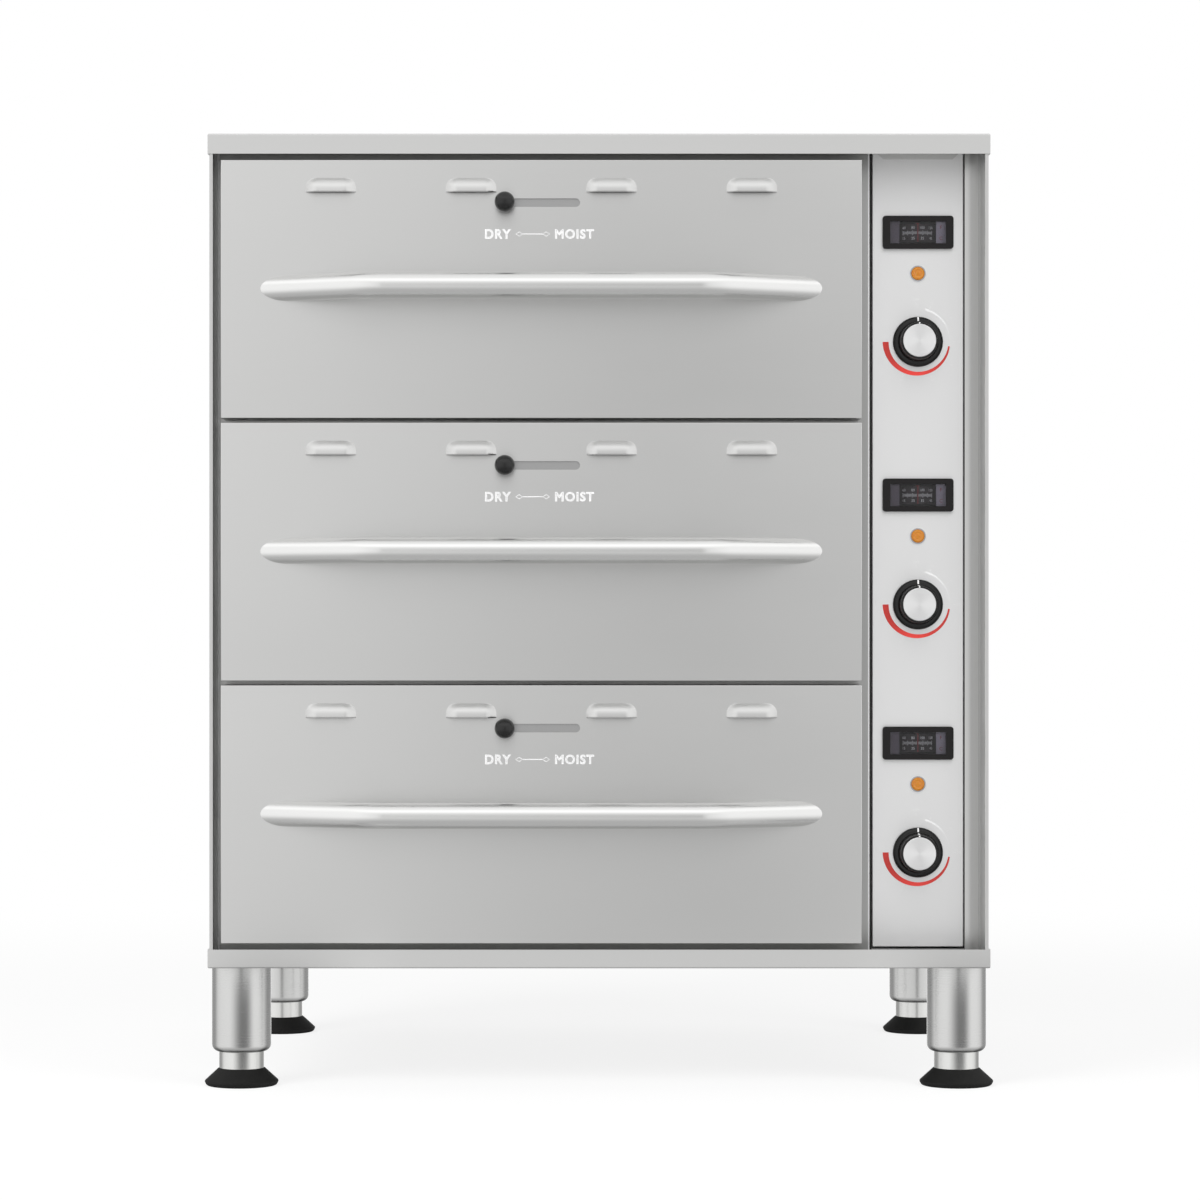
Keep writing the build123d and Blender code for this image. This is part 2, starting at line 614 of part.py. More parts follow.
def pan_form(spread, low, high):
    """The pan's round-cornered outline, grown by spread, between two heights."""
    outline = RectangleRounded(PAN_WIDTH + 2 * spread, PAN_LENGTH + 2 * spread, PAN_CORNER + spread)
    return extrude(Plane(origin=(DRAWER_X, FRONT + pan_middle(), low)) * outline, high - low)


def food_pan(base):
    """A deep pan with a shoulder under its rim, which rests on the carriage ledge."""
    rim_low = base + LEDGE_ABOVE_DRAWER_BASE
    top = rim_low + PAN_RIM_SHEET
    bottom = top - PAN_HEIGHT
    shoulder = top - PAN_SHOULDER_HEIGHT
    pan = pan_form(PAN_RIM, rim_low, top) + pan_form(0, shoulder, top) + pan_form(-PAN_STEP, bottom, top)
    pan -= pan_form(-PAN_SHEET, shoulder + PAN_SHEET, top + 1)
    return pan - pan_form(-PAN_STEP - PAN_SHEET, bottom + PAN_SHEET, top)


# Control bay

def panel_bottom():
    return TRAY_FLOOR + PANEL_BOTTOM_ABOVE_TRAY_FLOOR


def thermometer_case_half():
    """Half the width and half the height of the case that passes through the panel."""
    half_width = VIEW_WIDTH / 2 + GLASS_MARGIN + CASE_WALL
    half_height = VIEW_HEIGHT / 2 + GLASS_MARGIN + CASE_WALL
    return half_width, half_height


def control_panel():
    """A long hat section: the face, two side returns and two narrow feet on the frame's returns."""
    high = COVER_CEILING - BAY_HEADER - PANEL_TOP_GAP
    low = panel_bottom()
    foot_back = FRAME_BACK + PANEL_SHEET
    foot = PANEL_GAP + PANEL_FOOT_OVERLAP
    panel = block(PANEL_LEFT, PANEL_RIGHT, RECESS, foot_back, low, high)
    panel = fillet(panel.faces().sort_by(Axis.Y)[0].edges().filter_by(Axis.Z), PANEL_SHEET)
    panel += block(PANEL_LEFT - foot, PANEL_RIGHT + foot, FRAME_BACK, foot_back, low, high)
    panel -= block(PANEL_LEFT + PANEL_SHEET, PANEL_RIGHT - PANEL_SHEET, RECESS + PANEL_SHEET, foot_back + 1,
                   low - 1, high + 1)
    half_width, half_height = [half + CASE_HOLE_CLEARANCE for half in thermometer_case_half()]
    through = (RECESS - 1, RECESS + 2 * PANEL_SHEET)
    for z in THERMOMETER_HEIGHTS:
        panel -= block(PANEL_X - half_width, PANEL_X + half_width, *through, z - half_height, z + half_height)
        panel -= rod(PANEL_X, z - LAMP_BELOW_THERMOMETER, LAMP_RADIUS + 2 * RUNNING_CLEARANCE, *through)
        panel -= rod(PANEL_X, z - KNOB_BELOW_THERMOMETER, SPINDLE_PANEL_HOLE_RADIUS, *through)
    return panel


def panel_retainer():
    """A tab with sloping ends that hangs from the cover over the top of the panel."""
    back = RECESS - RETAINER_GAP
    top = COVER_CEILING
    half_top, half_bottom = RETAINER_TOP_WIDTH / 2, RETAINER_BOTTOM_WIDTH / 2
    slope = half_top - half_bottom
    low = top - RETAINER_DROP
    outline = Polyline((-half_top, top), (half_top, top), (half_top, low + slope), (half_bottom, low),
                       (-half_bottom, low), (-half_top, low + slope), close=True)
    face = Plane(origin=(PANEL_X, FRONT + back, 0), x_dir=(1, 0, 0), z_dir=(0, -1, 0)) * make_face(outline)
    tab = extrude(face, RETAINER_SHEET)
    return tab + block(PANEL_X - half_top, PANEL_X + half_top, back - RETAINER_FLANGE, back,
                       top - RETAINER_SHEET, top)


def drum_axis():
    """Depth of the upright axis of a thermometer's drum and pointer."""
    glass_back = RECESS - BEZEL_PROUD + BEZEL_LIP + GLASS_SHEET
    return glass_back + 2 * POINTER_GAP + POINTER_SHEET + DRUM_RADIUS


def thermometer_case(z):
    """The moulded bezel with its box behind the panel, open only at the viewing window."""
    half_width, half_height = thermometer_case_half()
    front = RECESS - BEZEL_PROUD
    bezel = block(PANEL_X - BEZEL_WIDTH / 2, PANEL_X + BEZEL_WIDTH / 2, front, RECESS,
                  z - BEZEL_HEIGHT / 2, z + BEZEL_HEIGHT / 2)
    bezel = fillet(bezel.edges().filter_by(Axis.Y), BEZEL_CORNER)
    inner_back = drum_axis() + DRUM_BACK + DRUM_BRACKET_DEPTH
    case = bezel + block(PANEL_X - half_width, PANEL_X + half_width, front + BEZEL_LIP,
                         inner_back + CASE_WALL, z - half_height, z + half_height)
    case -= block(PANEL_X - VIEW_WIDTH / 2, PANEL_X + VIEW_WIDTH / 2, front - 1, front + BEZEL_LIP + 1,
                  z - VIEW_HEIGHT / 2, z + VIEW_HEIGHT / 2)
    inner_width, inner_height = half_width - CASE_WALL, half_height - CASE_WALL
    return case - block(PANEL_X - inner_width, PANEL_X + inner_width, front + BEZEL_LIP, inner_back,
                        z - inner_height, z + inner_height)


def thermometer_glass(z):
    half_width, half_height = thermometer_case_half()
    front = RECESS - BEZEL_PROUD + BEZEL_LIP
    half_width, half_height = half_width - CASE_WALL, half_height - CASE_WALL
    return block(PANEL_X - half_width, PANEL_X + half_width, front, front + GLASS_SHEET,
                 z - half_height, z + half_height)


def thermometer_dial(z):
    """A half drum that carries the scale, on a bracket from the back of its case, with a bore for the pointer."""
    axis = drum_axis()
    drum = Pos(PANEL_X, FRONT + axis, z) * Cylinder(DRUM_RADIUS, DRUM_HEIGHT)
    drum &= block(PANEL_X - DRUM_RADIUS, PANEL_X + DRUM_RADIUS, axis - DRUM_RADIUS, axis + DRUM_BACK,
                  z - DRUM_HEIGHT / 2, z + DRUM_HEIGHT / 2)
    back = axis + DRUM_BACK
    drum += block(PANEL_X - DRUM_BRACKET_WIDTH / 2, PANEL_X + DRUM_BRACKET_WIDTH / 2, back,
                  back + DRUM_BRACKET_DEPTH, z - DRUM_HEIGHT / 2, z + DRUM_HEIGHT / 2)
    bore = Cylinder(POINTER_PIN_RADIUS + RUNNING_CLEARANCE, 2 * POINTER_PIN_LENGTH)
    return drum - Pos(PANEL_X, FRONT + axis, z + DRUM_HEIGHT / 2) * bore


def thermometer_pointer(z):
    """A pin in the drum, an arm over it and a needle that hangs in front of the scale."""
    axis = drum_axis()
    arm_low = z + DRUM_HEIGHT / 2 + POINTER_ARM_LIFT
    needle_back = axis - DRUM_RADIUS - POINTER_GAP
    needle_front = needle_back - POINTER_SHEET
    pin_low = z + DRUM_HEIGHT / 2 - POINTER_PIN_LENGTH + 1
    pin = Pos(PANEL_X, FRONT + axis, (pin_low + arm_low) / 2) * Cylinder(POINTER_PIN_RADIUS, arm_low - pin_low)
    arm = block(PANEL_X - POINTER_ARM_WIDTH / 2, PANEL_X + POINTER_ARM_WIDTH / 2, needle_front,
                axis + POINTER_ARM_WIDTH, arm_low, arm_low + POINTER_SHEET)
    needle = block(PANEL_X - POINTER_WIDTH / 2, PANEL_X + POINTER_WIDTH / 2, needle_front, needle_back,
                   z - DRUM_HEIGHT / 2, arm_low + POINTER_SHEET)
    return pin + arm + needle


def indicator_ring(z):
    ring = rod(PANEL_X, z, LAMP_RING_RADIUS, RECESS - LAMP_RING_PROUD, RECESS)
    return ring - rod(PANEL_X, z, LAMP_RADIUS + RUNNING_CLEARANCE, RECESS - LAMP_RING_PROUD - 1, RECESS + 1)


def indicator_lens(z):
    """A plug lens with a bevelled front, pushed through its ring and the panel."""
    front = RECESS - LAMP_PROUD
    bevel = LAMP_RADIUS - LAMP_DOME
    profile = [(0, 0), (bevel, 0), (LAMP_RADIUS, LAMP_DOME), (LAMP_RADIUS, LAMP_LENGTH), (0, LAMP_LENGTH)]
    return turned(profile, PANEL_X, front, z)


def thermostat(z):
    """A square switch body against the back of the panel, bored for the knob's spindle."""
    half = THERMOSTAT_SIZE / 2
    front = RECESS + PANEL_SHEET
    body = block(PANEL_X - half, PANEL_X + half, front, front + THERMOSTAT_DEPTH, z - half, z + half)
    body = chamfer(body.edges().filter_by(Axis.Y), THERMOSTAT_CHAMFER)
    spindle_end = RECESS - KNOB_GAP + SPINDLE_LENGTH
    return body - rod(PANEL_X, z, SPINDLE_RADIUS + RUNNING_CLEARANCE, front - 1, spindle_end + 1)


def control_knob(z):
    """A skirted knob, turned from one profile together with its spindle."""
    rear = RECESS - KNOB_GAP
    front = rear - KNOB_HEIGHT
    skirt = KNOB_HEIGHT - KNOB_SKIRT_HEIGHT
    profile = [(0, 0), (KNOB_GRIP_RADIUS, 0), (KNOB_GRIP_RADIUS, skirt), (KNOB_RADIUS, skirt),
               (KNOB_RADIUS, KNOB_HEIGHT), (SPINDLE_RADIUS, KNOB_HEIGHT),
               (SPINDLE_RADIUS, KNOB_HEIGHT + SPINDLE_LENGTH), (0, KNOB_HEIGHT + SPINDLE_LENGTH)]
    return turned(profile, PANEL_X, front, z)


def knob_cap(z):
    """A spun metal disc on the front of the knob."""
    back = RECESS - KNOB_GAP - KNOB_HEIGHT
    return rod(PANEL_X, z, KNOB_CAP_RADIUS, back - KNOB_CAP_HEIGHT, back)


# Legs, cord gland and fasteners

def leg_tube(x, depth):
    """A leg with a rounded lower end, a bore that guides the foot's sleeve and a stud through the tray."""
    bore = SLEEVE_RADIUS + RUNNING_CLEARANCE
    plate = LEG_HEIGHT - LEG_TOP_PLATE
    wall = LEG_RADIUS - bore
    cut = wall * (1 - cos(radians(45)))
    low = LEG_BOTTOM
    outline = Polyline((LEG_RADIUS, low + wall), (LEG_RADIUS, LEG_HEIGHT), (STUD_RADIUS, LEG_HEIGHT),
                       (STUD_RADIUS, TRAY_FLOOR), (0, TRAY_FLOOR), (0, plate), (bore, plate), (bore, low))
    rounding = ThreePointArc((bore, low), (LEG_RADIUS - cut, low + cut), (LEG_RADIUS, low + wall))
    half = make_face(Plane.XZ * (outline + rounding))
    return Pos(x, FRONT + depth, 0) * revolve(half, Axis.Z, 360)


def leg_nut(x, depth):
    nut = extrude(RegularPolygon(NUT_ACROSS_FLATS / 2, 6, major_radius=False), NUT_HEIGHT)
    return Pos(x, FRONT + depth, TRAY_FLOOR) * nut


def leg_sleeve(x, depth):
    height = SLEEVE_TOP - FOOT_HEIGHT
    return Pos(x, FRONT + depth, FOOT_HEIGHT + height / 2) * Cylinder(SLEEVE_RADIUS, height)


def leg_foot(x, depth):
    """A flared foot under the sleeve."""
    outline = Polyline((0, 0), (FOOT_BASE_RADIUS, 0), (FOOT_RADIUS, FOOT_RIM_HEIGHT),
                       (SLEEVE_RADIUS, FOOT_HEIGHT), (0, FOOT_HEIGHT), close=True)
    return Pos(x, FRONT + depth, 0) * revolve(make_face(Plane.XZ * outline), Axis.Z, 360)


def cord_gland():
    """A hexagonal gland with a round nose outside and a threaded barrel through the back panel."""
    x, z = gland_place()
    reach = BODY_DEPTH + GLAND_REACH
    hexagon = front_plane(x, BACK_FACE, z) * RegularPolygon(GLAND_ACROSS_FLATS / 2, 6, major_radius=False)
    gland = extrude(hexagon, -GLAND_HEX_LENGTH)
    gland += rod(x, z, GLAND_NOSE_RADIUS, BACK_FACE + GLAND_HEX_LENGTH, reach)
    gland += rod(x, z, GLAND_BARREL_RADIUS, BACK_INNER - GLAND_BARREL_INSIDE, BACK_FACE)
    return gland - rod(x, z, GLAND_BORE_RADIUS, BACK_INNER - GLAND_BARREL_INSIDE - 1, reach + 1)


def back_screws():
    """Hexagon-head screws down both edges of the back panel."""
    x = SIDE_OUTER - REAR_RETURN / 2
    low, high = TRAY_TOP + SCREW_END_INSET, COVER_BOTTOM - SCREW_END_INSET
    pitch = (high - low) / (SCREW_COUNT - 1)
    screws = []
    for side in (-x, x):
        for row in range(SCREW_COUNT):
            plane = front_plane(side, BACK_FACE, low + row * pitch)
            head = plane * RegularPolygon(SCREW_ACROSS_FLATS / 2, 6, major_radius=False)
            screws.append(extrude(head, -SCREW_HEAD_HEIGHT))
    return screws


# The fixed body
save("top_cover", open_tray(COVER_BOTTOM, TOTAL_HEIGHT, False))
save("base_tray", base_tray())
save("side_panel_left", side_panel(-1))
save("side_panel_right", side_panel(1))
save("back_panel", back_panel())
save("back_screws", *back_screws())
save("cord_gland", cord_gland())
save("front_frame", front_frame())
save("control_divider", control_divider())
save("cavity_liners", *[cavity_liner(base) for base in DRAWER_BASES])
save("insulation", *insulation())
save("heating_elements", *[heating_element(base) for base in DRAWER_BASES])
save("slide_channels", *[slide for base in DRAWER_BASES for slide in slide_pair(base, 0)])

# The control bay
save("control_panel", control_panel())
save("panel_retainer", panel_retainer())
save("thermometer_cases", *[thermometer_case(z) for z in THERMOMETER_HEIGHTS])
save("thermometer_glasses", *[thermometer_glass(z) for z in THERMOMETER_HEIGHTS])
save("thermometer_dials", *[thermometer_dial(z) for z in THERMOMETER_HEIGHTS])
save("indicator_rings", *[indicator_ring(z - LAMP_BELOW_THERMOMETER) for z in THERMOMETER_HEIGHTS])
save("indicator_lenses", *[indicator_lens(z - LAMP_BELOW_THERMOMETER) for z in THERMOMETER_HEIGHTS])
save("thermostats", *[thermostat(z - KNOB_BELOW_THERMOMETER) for z in THERMOMETER_HEIGHTS])
for level, z in zip(LEVELS, THERMOMETER_HEIGHTS):
    save(f"thermometer_pointer_{level}", thermometer_pointer(z))
    save(f"control_knob_{level}", control_knob(z - KNOB_BELOW_THERMOMETER))
    save(f"knob_cap_{level}", knob_cap(z - KNOB_BELOW_THERMOMETER))

# The drawers
for level, base in zip(LEVELS, DRAWER_BASES):
    save(f"drawer_front_{level}", drawer_front(base))
    save(f"humidity_slide_{level}", *humidity_slide(base))
    save(f"handle_{level}", handle(base))
    save(f"drawer_carriage_{level}", *carriage(base))
    save(f"food_pan_{level}", food_pan(base))
    save(f"slide_middles_{level}", *slide_pair(base, 1))

# The legs
save("leg_tubes", *[leg_tube(x, depth) for _, x, depth in leg_places()])
save("leg_nuts", *[leg_nut(x, depth) for _, x, depth in leg_places()])
for corner, x, depth in leg_places():
    save(f"leg_sleeve_{corner}", leg_sleeve(x, depth))
    save(f"leg_foot_{corner}", leg_foot(x, depth))
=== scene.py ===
# %% [markdown]
# # A shop warmer in brushed stainless steel
# This lesson dresses a finished CAD model: three heated drawers with louvred fronts, a bay of dials beside
# them, and four adjustable legs. The CAD model says where every piece is and how it moves. Blender adds what
# the eye sees from a step away: the finish of each metal and plastic, the print on the dials, and rounder
# edges than a working model needs.

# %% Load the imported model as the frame
from math import asin, cos, pi, radians, sin, sqrt, tan

import bmesh
import bpy
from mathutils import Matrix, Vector


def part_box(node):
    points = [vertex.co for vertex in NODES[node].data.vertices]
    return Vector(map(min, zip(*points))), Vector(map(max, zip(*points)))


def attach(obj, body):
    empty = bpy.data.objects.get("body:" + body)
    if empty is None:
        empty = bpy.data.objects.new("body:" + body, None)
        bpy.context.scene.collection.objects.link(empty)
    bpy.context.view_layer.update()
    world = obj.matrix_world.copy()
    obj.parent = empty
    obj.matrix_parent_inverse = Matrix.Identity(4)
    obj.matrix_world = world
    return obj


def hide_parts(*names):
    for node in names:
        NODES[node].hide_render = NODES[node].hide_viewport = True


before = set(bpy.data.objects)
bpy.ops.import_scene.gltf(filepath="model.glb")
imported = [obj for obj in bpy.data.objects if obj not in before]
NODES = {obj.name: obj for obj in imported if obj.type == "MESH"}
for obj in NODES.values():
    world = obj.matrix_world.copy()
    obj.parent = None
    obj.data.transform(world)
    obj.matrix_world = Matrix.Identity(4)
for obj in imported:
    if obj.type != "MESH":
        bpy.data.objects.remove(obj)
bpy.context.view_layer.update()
MM = 0.001
LEVELS = ("lower", "middle", "upper")
PANEL_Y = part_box("control_panel")[0].y


def middle(node):
    """The middle of a node's box."""
    return [(low + high) / 2 for low, high in zip(*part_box(node))]


# %% [markdown]
# ## The camera
# A product photograph of a cabinet is taken from far away with a long lens, level with the middle of the
# object, so that its upright edges stay upright. The distance comes from how much smaller the rear feet look
# than the front ones. The camera stays level, and a little lens shift puts the cabinet where the picture
# has it.

# %% Camera
IMAGE_SIZE = 1200
FOCAL_PX = 3852
SENSOR_MM = 36
FRONT_EDGE_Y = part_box("top_cover")[0].y
CAMERA_DISTANCE = 3.685
CAMERA_HEIGHT = 0.4544

camera_data = bpy.data.cameras.new("camera")
camera_data.sensor_width = SENSOR_MM
camera_data.lens = FOCAL_PX / IMAGE_SIZE * SENSOR_MM
camera_data.shift_x = 1 / IMAGE_SIZE
camera_data.shift_y = 15 / IMAGE_SIZE
camera = bpy.data.objects.new("camera", camera_data)
camera.location = (0, FRONT_EDGE_Y - CAMERA_DISTANCE, CAMERA_HEIGHT)
camera.rotation_euler = (pi / 2, 0, 0)
bpy.context.scene.collection.objects.link(camera)
bpy.context.scene.camera = camera
bpy.context.scene.view_settings.view_transform = "Standard"
print("lens:", round(camera_data.lens, 1), "mm")

# %% [markdown]
# ## Helpers for materials
# Colours are written as sRGB hex values, the way a paint chart or an image editor gives them, and one
# function turns them into the linear values that Blender calculates with. Another adds a shader node with
# its settings and its links, and the rest are short forms of it, so each material below reads like a recipe.


# %% Helpers for materials
def linear(hex_colour, alpha=1.0):
    """An sRGB hex colour such as c8c8c6 as a linear RGBA value."""
    parts = [int(hex_colour[i:i + 2], 16) / 255 for i in (0, 2, 4)]
    return [c / 12.92 if c <= 0.04045 else ((c + 0.055) / 1.055) ** 2.4 for c in parts] + [alpha]


def add(tree, kind, inputs=(), **settings):
    """Adds a node. Inputs are given by name or number, as a value or as another node's output."""
    made = tree.nodes.new("ShaderNode" + kind)
    for name, value in settings.items():
        setattr(made, name, value)
    for name, value in dict(inputs).items():
        if isinstance(value, bpy.types.NodeSocket):
            tree.links.new(value, made.inputs[name])
        else:
            made.inputs[name].default_value = value
    return made


def material(name, finish, **principled):
    """A material whose Principled BSDF takes plain values, after which finish adds its pattern."""
    made = bpy.data.materials.new(name)
    made.use_nodes = True
    tree = made.node_tree
    shader = tree.nodes["Principled BSDF"]
    for key, value in principled.items():
        shader.inputs[key.replace("_", " ")].default_value = value
    if finish:
        finish(tree, shader)
    return made


def metal(name, finish, colour, **more):
    """A bare metal of one colour."""
    return material(name, finish, Base_Color=linear(colour), Metallic=1.0, **more)


def bare_material(name):
    """A material that has only its output node yet, and its node tree."""
    made = bpy.data.materials.new(name)
    made.use_nodes = True
    made.node_tree.nodes.remove(made.node_tree.nodes["Principled BSDF"])
    return made, made.node_tree


def position(tree, scale=(1, 1, 1)):
    """Places on the object in metres, stretched by a scale for each axis."""
    where = add(tree, "TexCoord").outputs["Object"]
    return add(tree, "VectorMath", {0: where, 1: scale}, operation="MULTIPLY").outputs[0]


def noise(tree, scale, detail, stretch=(1, 1, 1), **more):
    """Soft noise on the object, mostly between 0.3 and 0.7."""
    return add(tree, "TexNoise", {"Vector": position(tree, stretch), "Scale": scale, "Detail": detail,
                                  **more}).outputs["Fac"]


def ranged(tree, value, low, high):
    """A noise value, mostly between 0.3 and 0.7, turned into one between low and high."""
    return add(tree, "MapRange", {"Value": value, "From Min": 0.3, "From Max": 0.7, "To Min": low,
                                  "To Max": high}).outputs[0]


def soft_step(tree, value, low, high, start, end):
    """A value that goes softly from start to end while the given one goes from low to high."""
    return add(tree, "MapRange", {"Value": value, "From Min": low, "From Max": high, "To Min": start,
                                  "To Max": end}, interpolation_type="SMOOTHSTEP").outputs[0]


def calc(tree, operation, *values):
    """The result of one Math node."""
    return add(tree, "Math", dict(enumerate(values)), operation=operation).outputs[0]


def tinted(tree, shader, share, one, other):
    """Lets the base colour drift between two colours."""
    tint = add(tree, "Mix", {"Factor": share, 6: linear(one), 7: linear(other)}, data_type="RGBA")
    tree.links.new(tint.outputs[2], shader.inputs["Base Color"])


# %% [markdown]
# ## Stainless steel
# The cabinet is grade 304 stainless sheet with a brushed finish. A belt drags fine grit along the sheet, and
# leaves scratches 20 to 60 mm long and a few hundredths of a millimetre wide. To the eye they blur into soft
# horizontal streaks, and they stretch every highlight across the scratch. Noise stretched far along the grain
# gives the streaks. Real scratches are too fine to show here, so they are drawn about 0.8 mm wide.
# A rolled sheet is also never quite flat: it bows by a millimetre or so, which is why the tone of a large
# panel drifts. The bow goes into the normal as a very shallow bump.

# %% Brushed and rolled steel
GRAIN_LENGTH = 0.06
GRAIN_WIDTH = 0.0008


def brushed(grain, depth, rough, spread, stretch=0.6, bow=None, level_sheet=False):
    """A finish whose scratches run along x, along x and y, or along z. A bow gives the sheet's rise in
    metres across its width and its height. A level sheet has its grain along x on its top as well."""
    wide, long = 1 / GRAIN_WIDTH, 1 / GRAIN_LENGTH
    scale = {"x": (long, wide, wide), "level": (long, long, wide), "z": (wide, wide, long)}[grain]

    def finish(tree, shader):
        streaks = noise(tree, 1.0, 4.0, scale, Roughness=0.6)
        clouds = noise(tree, 1.0, 2.0, (5, 5, 9))
        half = calc(tree, "MULTIPLY", calc(tree, "ADD", streaks, clouds), 0.5)
        tree.links.new(ranged(tree, half, rough - spread, rough + spread), shader.inputs["Roughness"])
        bump = add(tree, "Bump", {"Height": streaks, "Strength": depth, "Distance": 0.0002})
        if bow:
            tree.links.new(bowed(tree, bow), bump.inputs["Normal"])
        tree.links.new(bump.outputs[0], shader.inputs["Normal"])
        shader.inputs["Anisotropic"].default_value = stretch
        shader.inputs["Anisotropic Rotation"].default_value = 0.0 if level_sheet else 0.25
        tangent = add(tree, "Tangent", direction_type="RADIAL", axis="X" if level_sheet else "Z")
        tree.links.new(tangent.outputs[0], shader.inputs["Tangent"])

    return finish


def bowed(tree, bow):
    """The normal of a sheet that bulges a little, highest in its middle."""
    where = add(tree, "TexCoord").outputs["Generated"]
    off_middle = add(tree, "VectorMath", {0: where, 1: (0.5, 0.5, 0.5)}, operation="SUBTRACT").outputs[0]
    squared = add(tree, "VectorMath", {0: off_middle, 1: off_middle}, operation="MULTIPLY").outputs[0]
    drop = add(tree, "VectorMath", {0: squared, 1: (-bow[0], 0, -bow[1])}, operation="DOT_PRODUCT")
    return add(tree, "Bump", {"Height": drop.outputs["Value"], "Strength": 1.0, "Distance": 1.0}).outputs[0]


drawer_steel = metal("brushed_304_sheet", brushed("level", 0.05, 0.32, 0.03, 0.7, (0.022, 0.013)), "d6d6d5")
side_steel = metal("brushed_304_side", brushed("level", 0.05, 0.36, 0.03), "d6d6d5")
cover_steel = metal("satin_304_cover", brushed("x", 0.05, 0.45, 0.03, level_sheet=True), "dcdcdb")
panel_steel = metal("satin_anodised_panel", brushed("z", 0.03, 0.50, 0.02), "f2f2f2")
frame_steel = metal("rolled_304_frame", brushed("level", 0.04, 0.30, 0.03), "b4b4b3")
tube_steel = metal("linished_304_tube", brushed("level", 0.012, 0.27, 0.015, 0.8), "d2d2d1")
sleeve_steel = metal("turned_304_sleeve", brushed("level", 0.012, 0.25, 0.015, 0.7), "dcdcda")
bar_steel = metal("polished_304_bar", brushed("x", 0.02, 0.25, 0.02, 0.3), "e4e4e3")
inner_steel = metal("mill_finish_sheet", brushed("level", 0.08, 0.38, 0.05), "b9bbbb")
shutter_steel = metal("mill_finish_shutter", brushed("x", 0.04, 0.42, 0.03), "b2b2b2")
pan_steel = metal("deep_drawn_304_pan", brushed("x", 0.02, 0.24, 0.03), "d2d2d0")
print("sheet and bar finishes ready")

# %% [markdown]
# ## Zinc, aluminium and chrome
# Slides and screws are zinc plated, which leaves a bluish, slightly cloudy metal with small crystals. The
# disc on each knob is turned aluminium. A lathe tool cut it in fine rings, which stretch every highlight.


# %% Plated and turned metals
RING_PITCH = 0.4 * MM


def crystals(tree, shader):
    """Zinc crystals about 3 mm wide, uneven in tone and in gloss."""
    cells = add(tree, "TexVoronoi", {"Vector": position(tree), "Scale": 350.0}).outputs["Distance"]
    tinted(tree, shader, cells, "a9adb3", "c4c8cc")
    tree.links.new(ranged(tree, cells, 0.28, 0.42), shader.inputs["Roughness"])


def turned_rings(tree, shader):
    """Fine rings round the piece's own y axis, with the shine stretched across them."""
    where = add(tree, "TexCoord").outputs["Object"]
    flat = add(tree, "VectorMath", {0: where, 1: (1, 0, 1)}, operation="MULTIPLY").outputs[0]
    radius = add(tree, "VectorMath", {0: flat}, operation="LENGTH").outputs["Value"]
    wave = calc(tree, "SINE", calc(tree, "MULTIPLY", radius, 2 * pi / RING_PITCH))
    bump = add(tree, "Bump", {"Height": wave, "Strength": 0.12, "Distance": 0.00005})
    tree.links.new(bump.outputs[0], shader.inputs["Normal"])
    shader.inputs["Anisotropic"].default_value = 0.95
    shader.inputs["Anisotropic Rotation"].default_value = 0.25
    tangent = add(tree, "Tangent", direction_type="RADIAL", axis="Y")
    tree.links.new(tangent.outputs[0], shader.inputs["Tangent"])


zinc = material("zinc_plated_steel", crystals, Metallic=1.0)
turned_aluminium = metal("turned_aluminium", turned_rings, "f2f2f2", Roughness=0.30)
chrome = metal("chromed_brass", None, "dcdedf", Roughness=0.12)

# %% [markdown]
# ## Plastics, rubber and glass
# The knobs are black phenolic resin, pressed hot in a polished mould, so they are smooth with a soft sheen.
# The thermometer cases are ABS moulded in an etched mould, whose fine texture scatters light. Feet are black
# rubber, matt and a little dusty. The lamp lens is amber acrylic: light goes in, picks up colour and comes
# back out, by subsurface scattering and a clear coat. A faint glow stands for a lamp that is on.


# %% Plastics, rubber, glass and print
def moulded(grain_mm, depth, rough, spread):
    """The etched or slightly uneven skin of a moulded piece."""

    def finish(tree, shader):
        skin = noise(tree, 1000 / grain_mm, 3.0)
        tree.links.new(ranged(tree, skin, rough - spread, rough + spread), shader.inputs["Roughness"])
        bump = add(tree, "Bump", {"Height": skin, "Strength": depth, "Distance": 0.0002})
        tree.links.new(bump.outputs[0], shader.inputs["Normal"])

    return finish


def dusty(tree, shader):
    """Rubber that is greyer where dust settles."""
    moulded(0.8, 0.2, 0.62, 0.08)(tree, shader)
    tinted(tree, shader, noise(tree, 60.0, 5.0), "0e0e0e", "191918")


def fibres(tree, shader):
    """Mineral wool: yellow fibres in every direction."""
    threads = noise(tree, 400.0, 6.0, Distortion=2.0)
    tinted(tree, shader, threads, "a08a4a", "e3d08c")
    bump = add(tree, "Bump", {"Height": threads, "Strength": 0.8, "Distance": 0.002})
    tree.links.new(bump.outputs[0], shader.inputs["Normal"])


def scorched(tree, shader):
    """Heater steel with the blue and straw tints that heat leaves."""
    tinted(tree, shader, noise(tree, 30.0, 3.0), "4a4138", "6a6f7a")


def printed(name, colour, grain_mm, rough):
    """Ink or a printed plate: a matt colour."""
    return material(name, moulded(grain_mm, 0.05, rough, 0.05), Base_Color=linear(colour))


